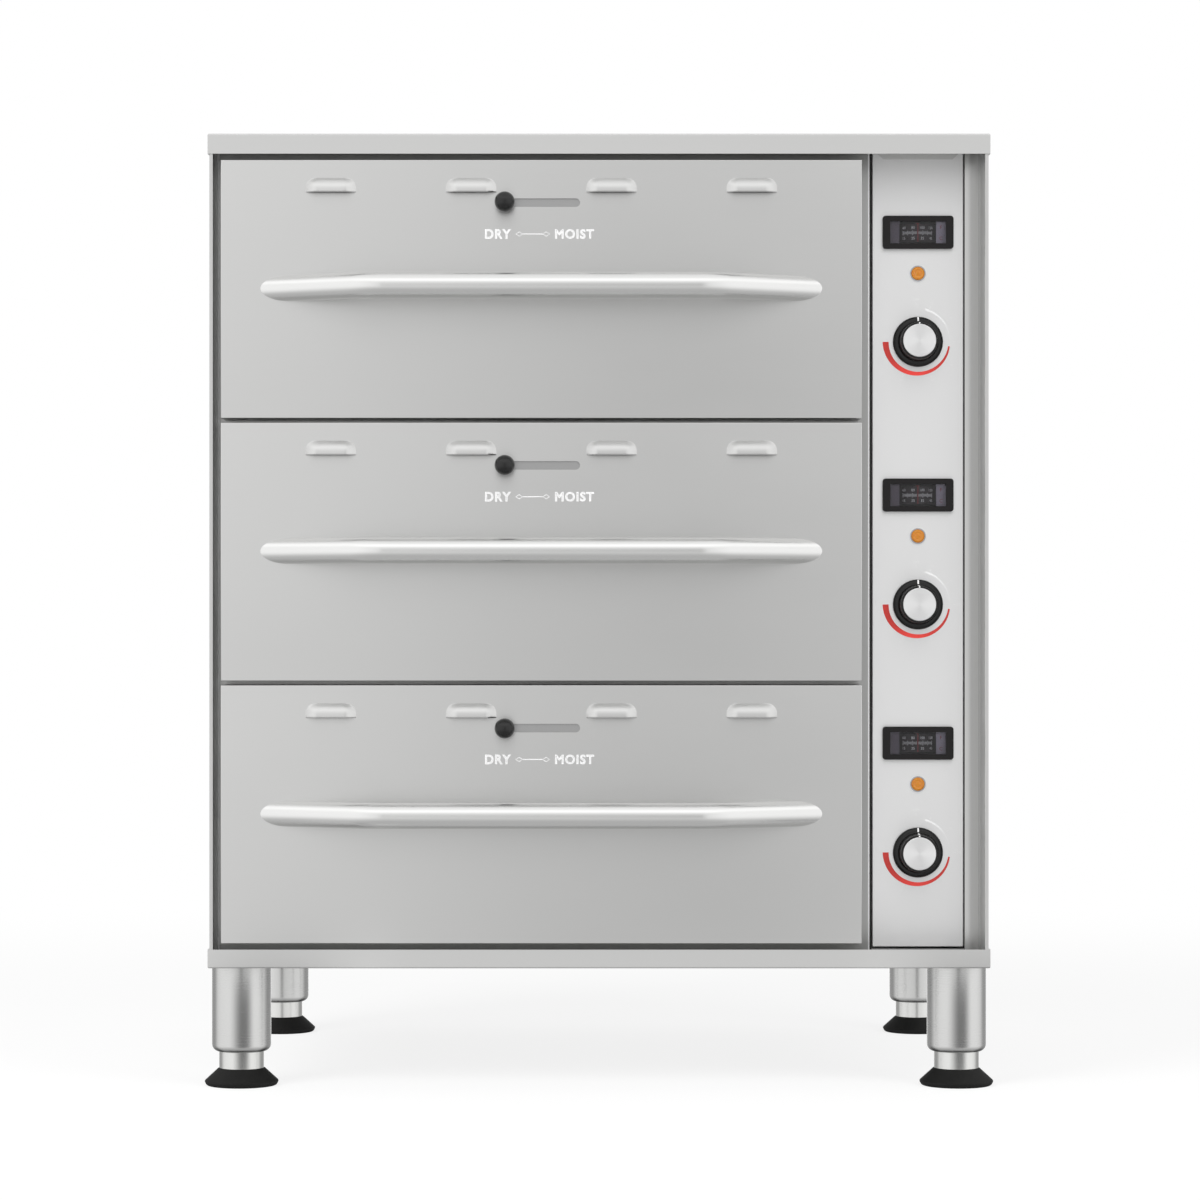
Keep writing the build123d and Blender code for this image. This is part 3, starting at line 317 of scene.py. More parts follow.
phenolic = material("black_phenolic", moulded(1.5, 0.05, 0.30, 0.04), Base_Color=linear("0b0b0b"), IOR=1.6,
                    Specular_IOR_Level=0.3)
abs_black = material("black_abs", moulded(0.4, 0.15, 0.42, 0.05), Base_Color=linear("0e0b0c"), IOR=1.53,
                     Specular_IOR_Level=0.3)
rubber = material("black_rubber", dusty, IOR=1.52, Specular_IOR_Level=0.25)
wool = material("mineral_wool", fibres, Roughness=0.95)
heater = material("heat_darkened_steel", scorched, Metallic=0.9, Roughness=0.45)
ball_plastic = material("black_ball_phenolic", moulded(2.0, 0.03, 0.25, 0.03), Base_Color=linear("0c0c0c"),
                        IOR=1.6, Specular_IOR_Level=0.35)
amber = material("amber_acrylic", moulded(0.6, 0.05, 0.16, 0.02), Base_Color=linear("c47a00"), IOR=1.49,
                 Subsurface_Weight=0.5, Subsurface_Radius=(0.004, 0.002, 0.0005), Coat_Weight=0.6,
                 Coat_Roughness=0.05, Emission_Color=linear("e08a00"), Emission_Strength=0.08)
# This white is print on the dials and the knobs, and a painted highlight on the raised drawer words.
white_ink_and_painted_highlight = printed("white_screen_ink_and_painted_highlight", "f4f4f4", 0.3, 0.55)
red_ink = printed("red_screen_ink", "e8443d", 0.3, 0.50)
dull_red_ink = printed("dull_red_ink", "8f3a44", 0.3, 0.60)
drum_black = printed("printed_drum", "2c2426", 0.5, 0.55)
plate_lilac = printed("printed_plate_pale", "a29ba9", 0.5, 0.60)
plate_grey = printed("printed_plate_dark", "6b636e", 0.5, 0.60)
needle_red = material("red_enamel", moulded(0.5, 0.03, 0.35, 0.04), Base_Color=linear("7e1c22"))


def clear_pane(name):
    """A thin pane: most light goes straight through, and more is reflected at a glancing angle."""
    made, tree = bare_material(name)
    through = add(tree, "BsdfTransparent", {"Color": linear("f0f0f2")})
    shine = add(tree, "BsdfGlossy", {"Color": linear("ffffff"), "Roughness": 0.06})
    share = add(tree, "Fresnel", {"IOR": 1.49})
    mixed = add(tree, "MixShader", {0: share.outputs[0], 1: through.outputs[0], 2: shine.outputs[0]})
    tree.links.new(mixed.outputs[0], tree.nodes["Material Output"].inputs["Surface"])
    return made


pane = clear_pane("clear_acrylic_pane")
print("materials:", len(bpy.data.materials))

# %% [markdown]
# ## Finishes for the CAD pieces
# Most CAD pieces already have the right shape, so they only get a finish. The table below goes by the
# beginning of each node's name. Shading is smooth except over real edges, and the sheets that are bent square
# get a small rounded edge, because a press brake never leaves a knife edge.

# %% Give each CAD node its finish
FINISHES = {
    "top_cover": cover_steel, "base_tray": cover_steel, "side_panel": side_steel, "back_panel": cover_steel,
    "back_screws": zinc, "cord_gland": abs_black, "front_frame": frame_steel, "control_divider": inner_steel,
    "cavity_liners": inner_steel, "insulation": wool, "heating_elements": heater, "slide_channels": zinc,
    "slide_middles": zinc, "control_panel": panel_steel, "panel_retainer": cover_steel,
    "thermometer_cases": abs_black, "thermometer_glasses": pane, "thermometer_dials": drum_black,
    "thermometer_pointer": needle_red, "indicator_rings": chrome, "indicator_lenses": amber,
    "thermostats": phenolic, "control_knob": phenolic, "knob_cap": turned_aluminium,
    "drawer_front": drawer_steel, "humidity_slide": inner_steel, "handle": bar_steel,
    "drawer_carriage": inner_steel, "food_pan": pan_steel, "leg_tubes": tube_steel, "leg_nuts": zinc,
    "leg_sleeve": tube_steel, "leg_foot": rubber,
}
for name, node in NODES.items():
    finish = next(value for key, value in FINISHES.items() if name.startswith(key))
    node.data.materials.clear()
    node.data.materials.append(finish)
    node.data.polygons.foreach_set("use_smooth", [True] * len(node.data.polygons))
    node.data.set_sharp_from_angle(angle=radians(32))

BEND_RADIUS = 0.0006
for name in ("top_cover", "base_tray", "thermometer_cases", "panel_retainer", "control_panel"):
    edge = NODES[name].modifiers.new("bend", "BEVEL")
    edge.width = BEND_RADIUS
    edge.segments = 2
    edge.limit_method = "ANGLE"
    edge.angle_limit = radians(50)
print("finished CAD nodes:", len(NODES))

# %% [markdown]
# ## A small workshop for meshes
# The pieces made here are turned, bent or cut from sheet. The tools here make a piece from vertices and
# faces, turn a profile round an axis, round off a profile's inner corners, and lay out a flat rectangle.


# %% Mesh tools
def piece(name, vertices, faces, finish, body, slot, smooth=True, origin=(0, 0, 0)):
    """A mesh piece in metres that rides on a CAD body. Its vertices are given round its origin."""
    mesh = bpy.data.meshes.new(name)
    mesh.from_pydata(vertices, [], faces)
    mesh.update()
    mesh.materials.append(finish)
    obj = bpy.data.objects.new(name, mesh)
    obj.location = origin
    bpy.context.scene.collection.objects.link(obj)
    mesh.polygons.foreach_set("use_smooth", [smooth] * len(mesh.polygons))
    if smooth:
        mesh.set_sharp_from_angle(angle=radians(40))
    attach(obj, body)
    return obj


def lathe(profile, sides, axis="z"):
    """Vertices and faces of a closed or open profile of (radius, height) turned round z or round -y."""
    vertices, faces, rings = [], [], []
    for radius, height in profile:
        if radius < 1e-7:
            rings.append([len(vertices)])
            vertices.append((0, 0, height))
        else:
            rings.append(list(range(len(vertices), len(vertices) + sides)))
            vertices += [(radius * cos(2 * pi * k / sides), radius * sin(2 * pi * k / sides), height)
                         for k in range(sides)]
    for low, high in zip(rings, rings[1:]):
        for k in range(sides):
            n = (k + 1) % sides
            if len(low) == 1 and len(high) > 1:
                faces.append((low[0], high[n], high[k]))
            elif len(high) == 1 and len(low) > 1:
                faces.append((low[k], low[n], high[0]))
            elif len(low) > 1:
                faces.append((low[k], low[n], high[n], high[k]))
    if axis == "front":
        vertices = [(x, -z, y) for x, y, z in vertices]
    return vertices, faces


def rounded(points, radius, steps=4):
    """A profile whose inner corners are rounded off by the given radius."""
    result = [points[0]]
    for before, corner, after in zip(points, points[1:], points[2:]):
        a, b, c = Vector(before), Vector(corner), Vector(after)
        back, forth = (a - b), (c - b)
        cut = min(radius, back.length * 0.45, forth.length * 0.45)
        start, end = b + back.normalized() * cut, b + forth.normalized() * cut
        for k in range(steps + 1):
            t = k / steps
            result.append(tuple(start * (1 - t) ** 2 + b * 2 * t * (1 - t) + end * t ** 2))
    return result + [points[-1]]
def rectangle(x0, x1, z0, z1):
    """A flat upright rectangle as vertices and faces."""
    return [(x0, 0, z0), (x1, 0, z0), (x1, 0, z1), (x0, 0, z1)], [(0, 1, 2, 3)]

# %% [markdown]
# ## Handles
# Each handle is a stainless bar, 24.5 mm thick, bent back at both ends and cut off flush with the drawer's
# face. The CAD bar has flat facets, so a finer one takes its place. Its rings follow the straight run and two
# bends, and the last ring of each end is slid along the bar until it meets the face.

# %% Handles
BAR_RADIUS = 12.25 * MM
BAR_SIDES = 64
BEND_STEPS = 16
HANDLE_SLOPE = radians(26)
HANDLE_BEND = 60 * MM


def handle_mesh(node):
    """The rings of one bar, from its left cut to its right one, as vertices and faces."""
    low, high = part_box(node)
    face, middle_z, middle_x = high.y, (low.z + high.z) / 2, (low.x + high.x) / 2
    half_length = (high.x - low.x) / 2
    standoff = high.y - low.y - BAR_RADIUS
    foot = half_length - BAR_RADIUS / sin(HANDLE_SLOPE)
    shoulder = foot - standoff / tan(HANDLE_SLOPE)
    start = shoulder - HANDLE_BEND * tan(HANDLE_SLOPE / 2)
    rings = []
    for step in range(BEND_STEPS + 1):
        turn = HANDLE_SLOPE * step / BEND_STEPS
        centre = Vector((start + HANDLE_BEND * sin(turn), face - standoff + HANDLE_BEND * (1 - cos(turn)),
                         middle_z))
        along = Vector((cos(turn), sin(turn), 0))
        across = Vector((sin(turn), -cos(turn), 0))
        rings.append([centre + across * BAR_RADIUS * cos(2 * pi * k / BAR_SIDES)
                      + Vector((0, 0, BAR_RADIUS * sin(2 * pi * k / BAR_SIDES))) for k in range(BAR_SIDES)])
    rings.append([point + along * ((face - point.y) / along.y) for point in rings[-1]])
    left = [[Vector((-p.x, p.y, p.z)) for p in ring] for ring in reversed(rings)]
    every = left + rings
    vertices = [(p.x + middle_x, p.y, p.z) for ring in every for p in ring]
    faces = []
    for r in range(len(every) - 1):
        for k in range(BAR_SIDES):
            n = (k + 1) % BAR_SIDES
            a, b = r * BAR_SIDES, (r + 1) * BAR_SIDES
            faces.append((a + k, b + k, b + n, a + n))
    last = (len(every) - 1) * BAR_SIDES
    faces.append(tuple(range(BAR_SIDES)))
    faces.append(tuple(last + k for k in reversed(range(BAR_SIDES))))
    return vertices, faces


for level in LEVELS:
    bar = piece(f"bar_{level}", *handle_mesh(f"handle_{level}"), bar_steel, f"drawer_{level}",
                "polished_stainless")
    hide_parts(f"handle_{level}")
print("handles:", len(LEVELS))

# %% [markdown]
# ## The recess behind the fronts
# Between the drawers, the control panel and the side panels one looks 50 mm deep onto the folded front frame.
# The photograph shows thin light and dark lines there, and a post at the right whose tone falls off towards
# the corner. What makes them can't be seen, so these facings are a guess: flat strips for the lines, a
# lighter copy of the frame steel as painted highlight on the light ones and a dark matt sheet as painted
# shade on the dark ones, and a slightly rounded post, whose tone comes from what its curve reflects.

# %% Facings on the front frame
post_steel = metal("rolled_304_post", None, "c4c4c3", Roughness=0.32)
# The light strips are a lighter copy of the frame steel: a painted highlight.
painted_highlight_steel = metal("painted_highlight_304_strip", None, "f4f4f4", Roughness=0.5)
# The dark matt strips are painted shade on the frame.
painted_shade_strip = material("painted_shade_304_strip", None, Base_Color=linear("1c1c1c"), Roughness=0.7)
FACING = 0.15 * MM
POST_WIDTH, POST_BULGE, POST_STRIPS = 12.9 * MM, 1.0 * MM, 16
side_low, side_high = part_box("side_panel_left")
recess_low, recess_high = side_low.z + 2 * MM, side_high.z - 2 * MM
recess_height = recess_high - recess_low
drawer_left, drawer_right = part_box("drawer_front_lower")[0].x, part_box("drawer_front_lower")[1].x
post_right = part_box("side_panel_right")[1].x - 5.5 * MM
facings = (("frame_painted_highlight_left", drawer_left - 7.1 * MM, drawer_left - 5.9 * MM, painted_highlight_steel),
           ("frame_painted_highlight_right", drawer_right + 9.2 * MM, drawer_right + 10.6 * MM, painted_highlight_steel),
           ("frame_painted_shade_right", drawer_right + 10.6 * MM, drawer_right + 12.6 * MM, painted_shade_strip),
           ("panel_painted_shade_right", drawer_right + 102.4 * MM, drawer_right + 103.9 * MM, painted_shade_strip))
for name, x0, x1, finish in facings:
    piece(name, *rectangle(0, x1 - x0, 0, recess_height), finish, "root", "brushed_stainless", smooth=False,
          origin=(x0, PANEL_Y - FACING, recess_low))
post_points, post_faces = [], []
for k in range(POST_STRIPS + 1):
    across = k / POST_STRIPS
    bulge = -POST_BULGE * (1 - (2 * across - 1) ** 2)
    post_points += [(across * POST_WIDTH, bulge, 0), (across * POST_WIDTH, bulge, recess_height)]
for k in range(POST_STRIPS):
    post_faces.append((2 * k, 2 * k + 2, 2 * k + 3, 2 * k + 1))
piece("corner_post_face", post_points, post_faces, post_steel, "root", "brushed_stainless",
      origin=(post_right - POST_WIDTH, PANEL_Y - FACING, recess_low))
print("facings:", len(facings) + 1)

# %% [markdown]
# ## Drawer fronts
# A drawer front is one steel sheet. Its louvres are lanced and pressed in one stroke: the punch cuts a slit
# and pushes the metal above it out into a hood, open below, whose roof and cheeks run into the sheet in
# soft curves. That form is hard to round with a bevel, so each hood is laid out as a grid that follows its
# outline, and raised by a formula. The flat sheet round the hoods and the slot is then filled in, and a
# Solidify modifier gives the whole skin the thickness of the steel.

# %% Drawer fronts
LOUVRE = {"width": 48.3, "height": 13.9, "proud": 6.0, "corner": 9.5, "below_top": 31.1, "pitch": 134.3}
SLOT = {"length": 76.9, "height": 8.1, "below_top": 40.9, "offset": -1.4}
EDGE_RADIUS = 0.7 * MM
SKIN_SHEET = 1.2 * MM
CHEEK_SHARE = 0.38
CHEEK_POWER = 1.35
EDGE_STEPS = 5


def louvre_point(across, up):
    """The place in millimetres and the height of one grid point; across is -1 to 1 and up is 0 to 1."""
    width, height, proud, corner = [LOUVRE[key] for key in ("width", "height", "proud", "corner")]
    v = height * up
    into_corner = max(0.0, v - (height - corner))
    half = width / 2 - corner + sqrt(max(0.0, corner ** 2 - into_corner ** 2))
    rise = proud * (1 - up ** 3)
    into_cheek = max(0.0, 1 - (1 - abs(across)) / CHEEK_SHARE)
    return across * half, v, rise * (1 - into_cheek ** CHEEK_POWER)


def louvre_hood(skin, x, z, face_y, columns=28, rows=14):
    """Adds one hood to the skin and returns the edges of the hole that it needs in the flat sheet."""
    grid = []
    for j in range(rows + 1):
        row = []
        for i in range(columns + 1):
            u, v, rise = louvre_point(sin(pi / 2 * (2 * i / columns - 1)), sin(pi / 2 * j / rows))
            row.append(skin.verts.new((x + u * MM, face_y - rise * MM, z + v * MM)))
        grid.append(row)
    for j in range(rows):
        for i in range(columns):
            skin.faces.new((grid[j][i], grid[j][i + 1], grid[j + 1][i + 1], grid[j + 1][i])).smooth = True
    border = [row[0] for row in grid] + grid[-1][1:-1] + [row[-1] for row in reversed(grid)]
    return loop_edges(skin, border)


def loop_edges(mesh, points):
    """The edges of a closed loop of vertices, made where they aren't there yet."""
    edges = []
    for a, b in zip(points, points[1:] + points[:1]):
        edges.append(mesh.edges.get((a, b)) or mesh.edges.new((a, b)))
    return edges


def slot_outline(x, z, steps=12):
    """Points round a slot with half-round ends."""
    radius, straight = SLOT["height"] / 2 * MM, (SLOT["length"] - SLOT["height"]) / 2 * MM
    points = []
    for side, first in ((1, -90), (-1, 90)):
        for k in range(steps + 1):
            angle = radians(first + 180 * k / steps)
            points.append((x + side * straight + radius * cos(angle), z + radius * sin(angle)))
    return points


for level in LEVELS:
    low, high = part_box(f"drawer_front_{level}")
    face_y = low.y + LOUVRE["proud"] * MM
    middle_x = (low.x + high.x) / 2
    skin = bmesh.new()
    rings = []
    for k in range(EDGE_STEPS + 1):
        turn = pi / 2 * k / EDGE_STEPS
        rings.append((EDGE_RADIUS * (1 - sin(turn)), face_y + EDGE_RADIUS * (1 - cos(turn))))
    rings.append((0, high.y))
    corners = []
    for inset, y in rings:
        corners.append([skin.verts.new(point) for point in (
            (low.x + inset, y, low.z + inset), (high.x - inset, y, low.z + inset),
            (high.x - inset, y, high.z - inset), (low.x + inset, y, high.z - inset))])
    for near, rear in zip(corners, corners[1:]):
        for k in range(4):
            n = (k + 1) % 4
            returned = skin.faces.new((near[k], rear[k], rear[n], near[n]))
            returned.smooth = rear is not corners[-1]
    edges = loop_edges(skin, corners[0])
    for place in range(4):
        x = middle_x + (place - 1.5) * LOUVRE["pitch"] * MM
        edges += louvre_hood(skin, x, high.z - LOUVRE["below_top"] * MM, face_y)
    outline = slot_outline(middle_x + SLOT["offset"] * MM, high.z - SLOT["below_top"] * MM)
    edges += loop_edges(skin, [skin.verts.new((x, face_y, z)) for x, z in outline])
    bmesh.ops.triangle_fill(skin, edges=edges, use_beauty=True, normal=(0, -1, 0))
    mesh = bpy.data.meshes.new(f"drawer_skin_{level}")
    skin.to_mesh(mesh)
    skin.free()
    mesh.materials.append(drawer_steel)
    front = bpy.data.objects.new(f"drawer_skin_{level}", mesh)
    bpy.context.scene.collection.objects.link(front)
    thickness = front.modifiers.new("sheet", "SOLIDIFY")
    thickness.thickness = SKIN_SHEET
    thickness.offset = -1
    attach(front, f"drawer_{level}")
    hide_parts(f"drawer_front_{level}")
    print(front.name, "faces:", len(mesh.polygons))

# %% [markdown]
# ## The humidity knob and its shutter
# Behind the louvres a thin steel shutter slides left and right. A black ball on a stem sticks out through the
# slot and moves it. The CAD node holds both, but they need two finishes, so both are made again here.

# %% Shutters and ball knobs
BALL_RADIUS = 9.6 * MM
STEM_RADIUS = 3.5 * MM
BALL_STEPS = 40
WINDOW_HALF_WIDTH = 22.95 * MM
WINDOW_HEIGHT = 12.7 * MM
SHUTTER_SHEET = 1.0 * MM
SHUTTER_BELOW_TOP = 52 * MM
SHUTTER_TRAVEL = 66.9 * MM


def box_faces(x0, x1, y0, y1, z0, z1, first=0):
    """The corners and faces of one box."""
    corners = [(x, y, z) for x in (x0, x1) for y in (y0, y1) for z in (z0, z1)]
    quads = [(0, 1, 3, 2), (4, 6, 7, 5), (0, 4, 5, 1), (2, 3, 7, 6), (0, 2, 6, 4), (1, 5, 7, 3)]
    return corners, [tuple(first + k for k in quad) for quad in quads]


def sheet_with_windows(x_cuts, z_low, z_high, z_cuts, y0, y1):
    """A flat sheet from strips: x_cuts are its left edge, each window's two edges, and its right edge."""
    vertices, faces = [], []
    spans = list(zip(x_cuts, x_cuts[1:]))
    for index, (x0, x1) in enumerate(spans):
        parts = [(z_low, z_high)] if index % 2 == 0 else [(z_low, z_cuts[0]), (z_cuts[1], z_high)]
        for z0, z1 in parts:
            more, quads = box_faces(x0, x1, y0, y1, z0, z1, len(vertices))
            vertices += more
            faces += quads
    return vertices, faces


for level in LEVELS:
    body = f"humidity_slide_{level}"
    low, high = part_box(body)
    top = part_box(f"drawer_front_{level}")[1].z
    middle_x = middle(f"drawer_front_{level}")[0]
    front_y = high.y - SHUTTER_SHEET
    cuts = [low.x]
    for place in range(4):
        centre = middle_x + (place - 1.5) * LOUVRE["pitch"] * MM
        cuts += [centre - WINDOW_HALF_WIDTH, centre + WINDOW_HALF_WIDTH]
    cuts.append(high.x)
    window_low = top - LOUVRE["below_top"] * MM
    window = (window_low, window_low + WINDOW_HEIGHT)
    sheet = sheet_with_windows(cuts, top - SHUTTER_BELOW_TOP, high.z, window, front_y, high.y)
    shutter = piece(f"shutter_{level}", *sheet, shutter_steel, body, "inner_steel", smooth=False)
    ball_y = low.y + BALL_RADIUS
    collar = -BALL_RADIUS * cos(asin(STEM_RADIUS / BALL_RADIUS))
    turns = [pi * k / BALL_STEPS for k in range(BALL_STEPS + 1)]
    profile = [(STEM_RADIUS, ball_y - front_y), (STEM_RADIUS, collar)]
    profile += [(BALL_RADIUS * sin(turn), -BALL_RADIUS * cos(turn)) for turn in turns
                if -BALL_RADIUS * cos(turn) > collar]
    piece(f"ball_knob_{level}", *lathe(profile, 64, "front"), ball_plastic, body, "black_phenolic",
          origin=(middle_x + SLOT["offset"] * MM - SHUTTER_TRAVEL / 2, ball_y, top - SLOT["below_top"] * MM))
    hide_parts(body)
print("ball knobs:", len(LEVELS))

# %% [markdown]
# ## Control knobs
# Each knob is a black resin turning: a wide skirt with a white line, a narrower grip, and a disc of turned
# aluminium let into its front. The edges are rounded the way a mould leaves them.

# %% Control knobs and their caps
SKIRT_RADIUS, GRIP_RADIUS, CAP_RADIUS, SPINDLE_RADIUS = 24.25 * MM, 18.7 * MM, 15.9 * MM, 3 * MM
KNOB_HEIGHT, SKIRT_HEIGHT, SPINDLE_LENGTH, KNOB_GAP = 21 * MM, 4 * MM, 26 * MM, 0.3 * MM
LINE_HALF_WIDTH = 0.75 * MM
knob_profile = rounded([
    (SPINDLE_RADIUS, -SPINDLE_LENGTH), (SPINDLE_RADIUS, 0), (SKIRT_RADIUS, 0),
    (SKIRT_RADIUS, SKIRT_HEIGHT * 0.55), (SKIRT_RADIUS - 2.4 * MM, SKIRT_HEIGHT),
    (GRIP_RADIUS + 0.8 * MM, SKIRT_HEIGHT + 0.3 * MM), (GRIP_RADIUS, SKIRT_HEIGHT + 2 * MM),
    (GRIP_RADIUS - 0.9 * MM, KNOB_HEIGHT), (CAP_RADIUS, KNOB_HEIGHT), (0, KNOB_HEIGHT)], 0.8 * MM)
disc_profile = rounded([
    (CAP_RADIUS - 0.2 * MM, 0), (CAP_RADIUS, 0.1 * MM), (CAP_RADIUS, 0.9 * MM),
    (CAP_RADIUS - 0.5 * MM, 1.3 * MM), (0, 0.75 * MM)], 0.2 * MM)
LINES = (
    (SKIRT_RADIUS - 2.8 * MM, SKIRT_RADIUS - 0.4 * MM, SKIRT_HEIGHT + 0.25 * MM, SKIRT_HEIGHT - 1.2 * MM),
    (GRIP_RADIUS + 1.2 * MM, SKIRT_RADIUS - 2.6 * MM, SKIRT_HEIGHT + 0.6 * MM, SKIRT_HEIGHT + 0.3 * MM),
    (GRIP_RADIUS - 0.8 * MM, GRIP_RADIUS + 0.15 * MM, KNOB_HEIGHT - 0.6 * MM, SKIRT_HEIGHT + 2.5 * MM),
    (CAP_RADIUS + 0.3 * MM, GRIP_RADIUS - 1.3 * MM, KNOB_HEIGHT + 0.06 * MM, KNOB_HEIGHT + 0.06 * MM))
line_points, line_faces = [], []
for inner, outer, inner_height, outer_height in LINES:
    line_faces.append(tuple(range(len(line_points), len(line_points) + 4)))
    line_points += [(-LINE_HALF_WIDTH, -inner_height, inner), (LINE_HALF_WIDTH, -inner_height, inner),
                    (LINE_HALF_WIDTH, -outer_height, outer), (-LINE_HALF_WIDTH, -outer_height, outer)]
for level in LEVELS:
    body = f"knob_{level}"
    x, _, z = middle(f"control_knob_{level}")
    back = PANEL_Y - KNOB_GAP
    knob = piece(f"knob_body_{level}", *lathe(knob_profile, 96, "front"), phenolic, body, "black_phenolic",
                 origin=(x, back, z))
    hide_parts(f"control_knob_{level}")
    disc = piece(f"knob_disc_{level}", *lathe(disc_profile, 128, "front"), turned_aluminium, body,
                 "spun_aluminium", origin=(x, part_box(f"knob_cap_{level}")[1].y, z))
    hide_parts(f"knob_cap_{level}")
    piece(f"knob_line_{level}", line_points, line_faces, white_ink_and_painted_highlight, body, "spun_aluminium", smooth=False,
          origin=(x, back, z))
print("knobs:", len(LEVELS))

# %% [markdown]
# ## Print on the control panel
# The scale round each knob is screen printed: a white arc that tapers off over the low settings, a red arc
# that grows towards the high ones, small ticks, and plain numbers. Print is only a film of ink, so each shape
# is cut flat and lies a tenth of a millimetre in front of the steel.


# %% Scales round the knobs
def polar(angle, radius):
    """A point round a dial's centre, with the angle clockwise from the top in degrees."""
    return radius * sin(radians(angle)), radius * cos(radians(angle))


def arc_band(first, last, inner, outer, steps=48):
    """A flat band between two angles; inner and outer give (radius at first, radius at last)."""
    vertices, faces = [], []
    for k in range(steps + 1):
        t = k / steps
        angle = first + (last - first) * t
        for start, end in (inner, outer):
            x, z = polar(angle, start + (end - start) * t)
            vertices.append((x * MM, 0, z * MM))
    for k in range(steps):
        faces.append((2 * k, 2 * k + 1, 2 * k + 3, 2 * k + 2))
    return vertices, faces


def merged(*shapes):
    """Several flat shapes as one list of vertices and faces."""
    vertices, faces = [], []
    for more, quads in shapes:
        faces += [tuple(len(vertices) + k for k in quad) for quad in quads]
        vertices += more
    return vertices, faces


def lettering(text, height, centre_x, centre_z, width=None, outline=0.0):
    """Flat letters as vertices and faces, round a centre, with a height in millimetres."""
    curve = bpy.data.curves.new("letters", "FONT")
    curve.body = text
    curve.size = 1.0
    curve.resolution_u = 4
    if outline:
        curve.fill_mode = "NONE"
        curve.space_character = 1.15
    obj = bpy.data.objects.new("letters", curve)
    bpy.context.scene.collection.objects.link(obj)
    bpy.context.view_layer.update()
    size = obj.dimensions.copy()
    if outline:
        curve.bevel_depth = outline / height * size.y
        curve.bevel_resolution = 1
        bpy.context.view_layer.update()
    mesh = bpy.data.meshes.new_from_object(obj.evaluated_get(bpy.context.evaluated_depsgraph_get()))
    xs = [v.co.x for v in mesh.vertices]
    ys = [v.co.y for v in mesh.vertices]
    middle = ((min(xs) + max(xs)) / 2, (min(ys) + max(ys)) / 2)
    scale_z = height / (max(ys) - min(ys))
    scale_x = width / (max(xs) - min(xs)) if width else scale_z
    vertices = [(((v.co.x - middle[0]) * scale_x + centre_x) * MM, -v.co.z * scale_z * MM,
                 ((v.co.y - middle[1]) * scale_z + centre_z) * MM) for v in mesh.vertices]
    faces = [tuple(p.vertices) for p in mesh.polygons]
    bpy.data.objects.remove(obj)
    bpy.data.curves.remove(curve)
    bpy.data.meshes.remove(mesh)
    return vertices, faces


def tick(angle, inner, half_width, length):
    """A short radial line on a dial; its half width is in degrees."""
    outer = inner + length
    return arc_band(angle - half_width, angle + half_width, (inner, inner), (outer, outer), 1)


def tick_start(angle, first):
    """Where a tick begins: level over the low settings, then further and further out."""
    return LOW_TICKS if angle < LAST_LOW_ANGLE else first + (angle - LAST_LOW_ANGLE) / 175 * 2


SCALE_ANGLES = (20, 54, 90, 124, 159, 204, 243, 272)
HALF_ANGLES = (36, 72, 107, 141, 181, 223, 258)
LOW_TICKS, LAST_LOW_ANGLE = 34.3, 95
INK_GAP = 0.1 * MM
for level in LEVELS:
    x, _, z = middle(f"control_knob_{level}")
    centre = (x, PANEL_Y - INK_GAP, z)
    white = [arc_band(13, 88, (31.2, 30.6), (33.2, 31.0)), lettering("OFF", 2.6, -1.5, 41.0)]
    white.append(tick(-2.7, 35.5, 0.5, 2.7))
    for index, angle in enumerate(SCALE_ANGLES):
        inner = tick_start(angle, 33.6)
        white.append(tick(angle, inner, 0.6, 2.4))
        white.append(lettering(str(30 + 10 * index), 2.3, *polar(angle, inner + 5.4)))
    white += [tick(angle, tick_start(angle, 33.2), 0.4, 1.5) for angle in HALF_ANGLES]
    piece(f"dial_print_{level}", *merged(*white), white_ink_and_painted_highlight, "root", "brushed_stainless", smooth=False,
          origin=centre)
    piece(f"dial_arc_{level}", *arc_band(98, 270, (29.6, 28.3), (31.3, 34.2), 96), red_ink, "root",
          "pointer_red", smooth=False, origin=centre)
print("scales:", len(LEVELS))

# %% [markdown]
# ## Thermometers
# Behind each window an upright drum carries the scale: a row of numbers, a band of fine ticks and a second
# row, printed round the drum. Beside it stand two small plates. The print is made flat and then wrapped
# round the drum, as a label would be, by turning each point's x into an angle.

# %% Thermometer scales
DRUM_RADIUS = 23.0 * MM
DRUM_ABOVE_KNOB = 106 * MM
NEEDLE_GAP = 1.3 * MM
NUMBER_PITCH, ROW_HEIGHT = 9.2, 5.0
PLATE_NEAR, PLATE_FAR, PLATE_HALF_HEIGHT, PLATE_SHEET = 17.8 * MM, 27.8 * MM, 11.4 * MM, 0.6 * MM


def drum_z(level):
    """The height of a thermometer's middle, which goes by the knob below it."""
    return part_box(f"control_knob_{level}")[0].z + SKIRT_RADIUS + DRUM_ABOVE_KNOB


def wrapped(shape, radius):
    """Flat print bent round an upright drum, whose axis is at the shape's origin."""
    vertices, faces = shape
    return [(radius * sin(x / radius), -radius * cos(x / radius), z) for x, _, z in vertices], faces


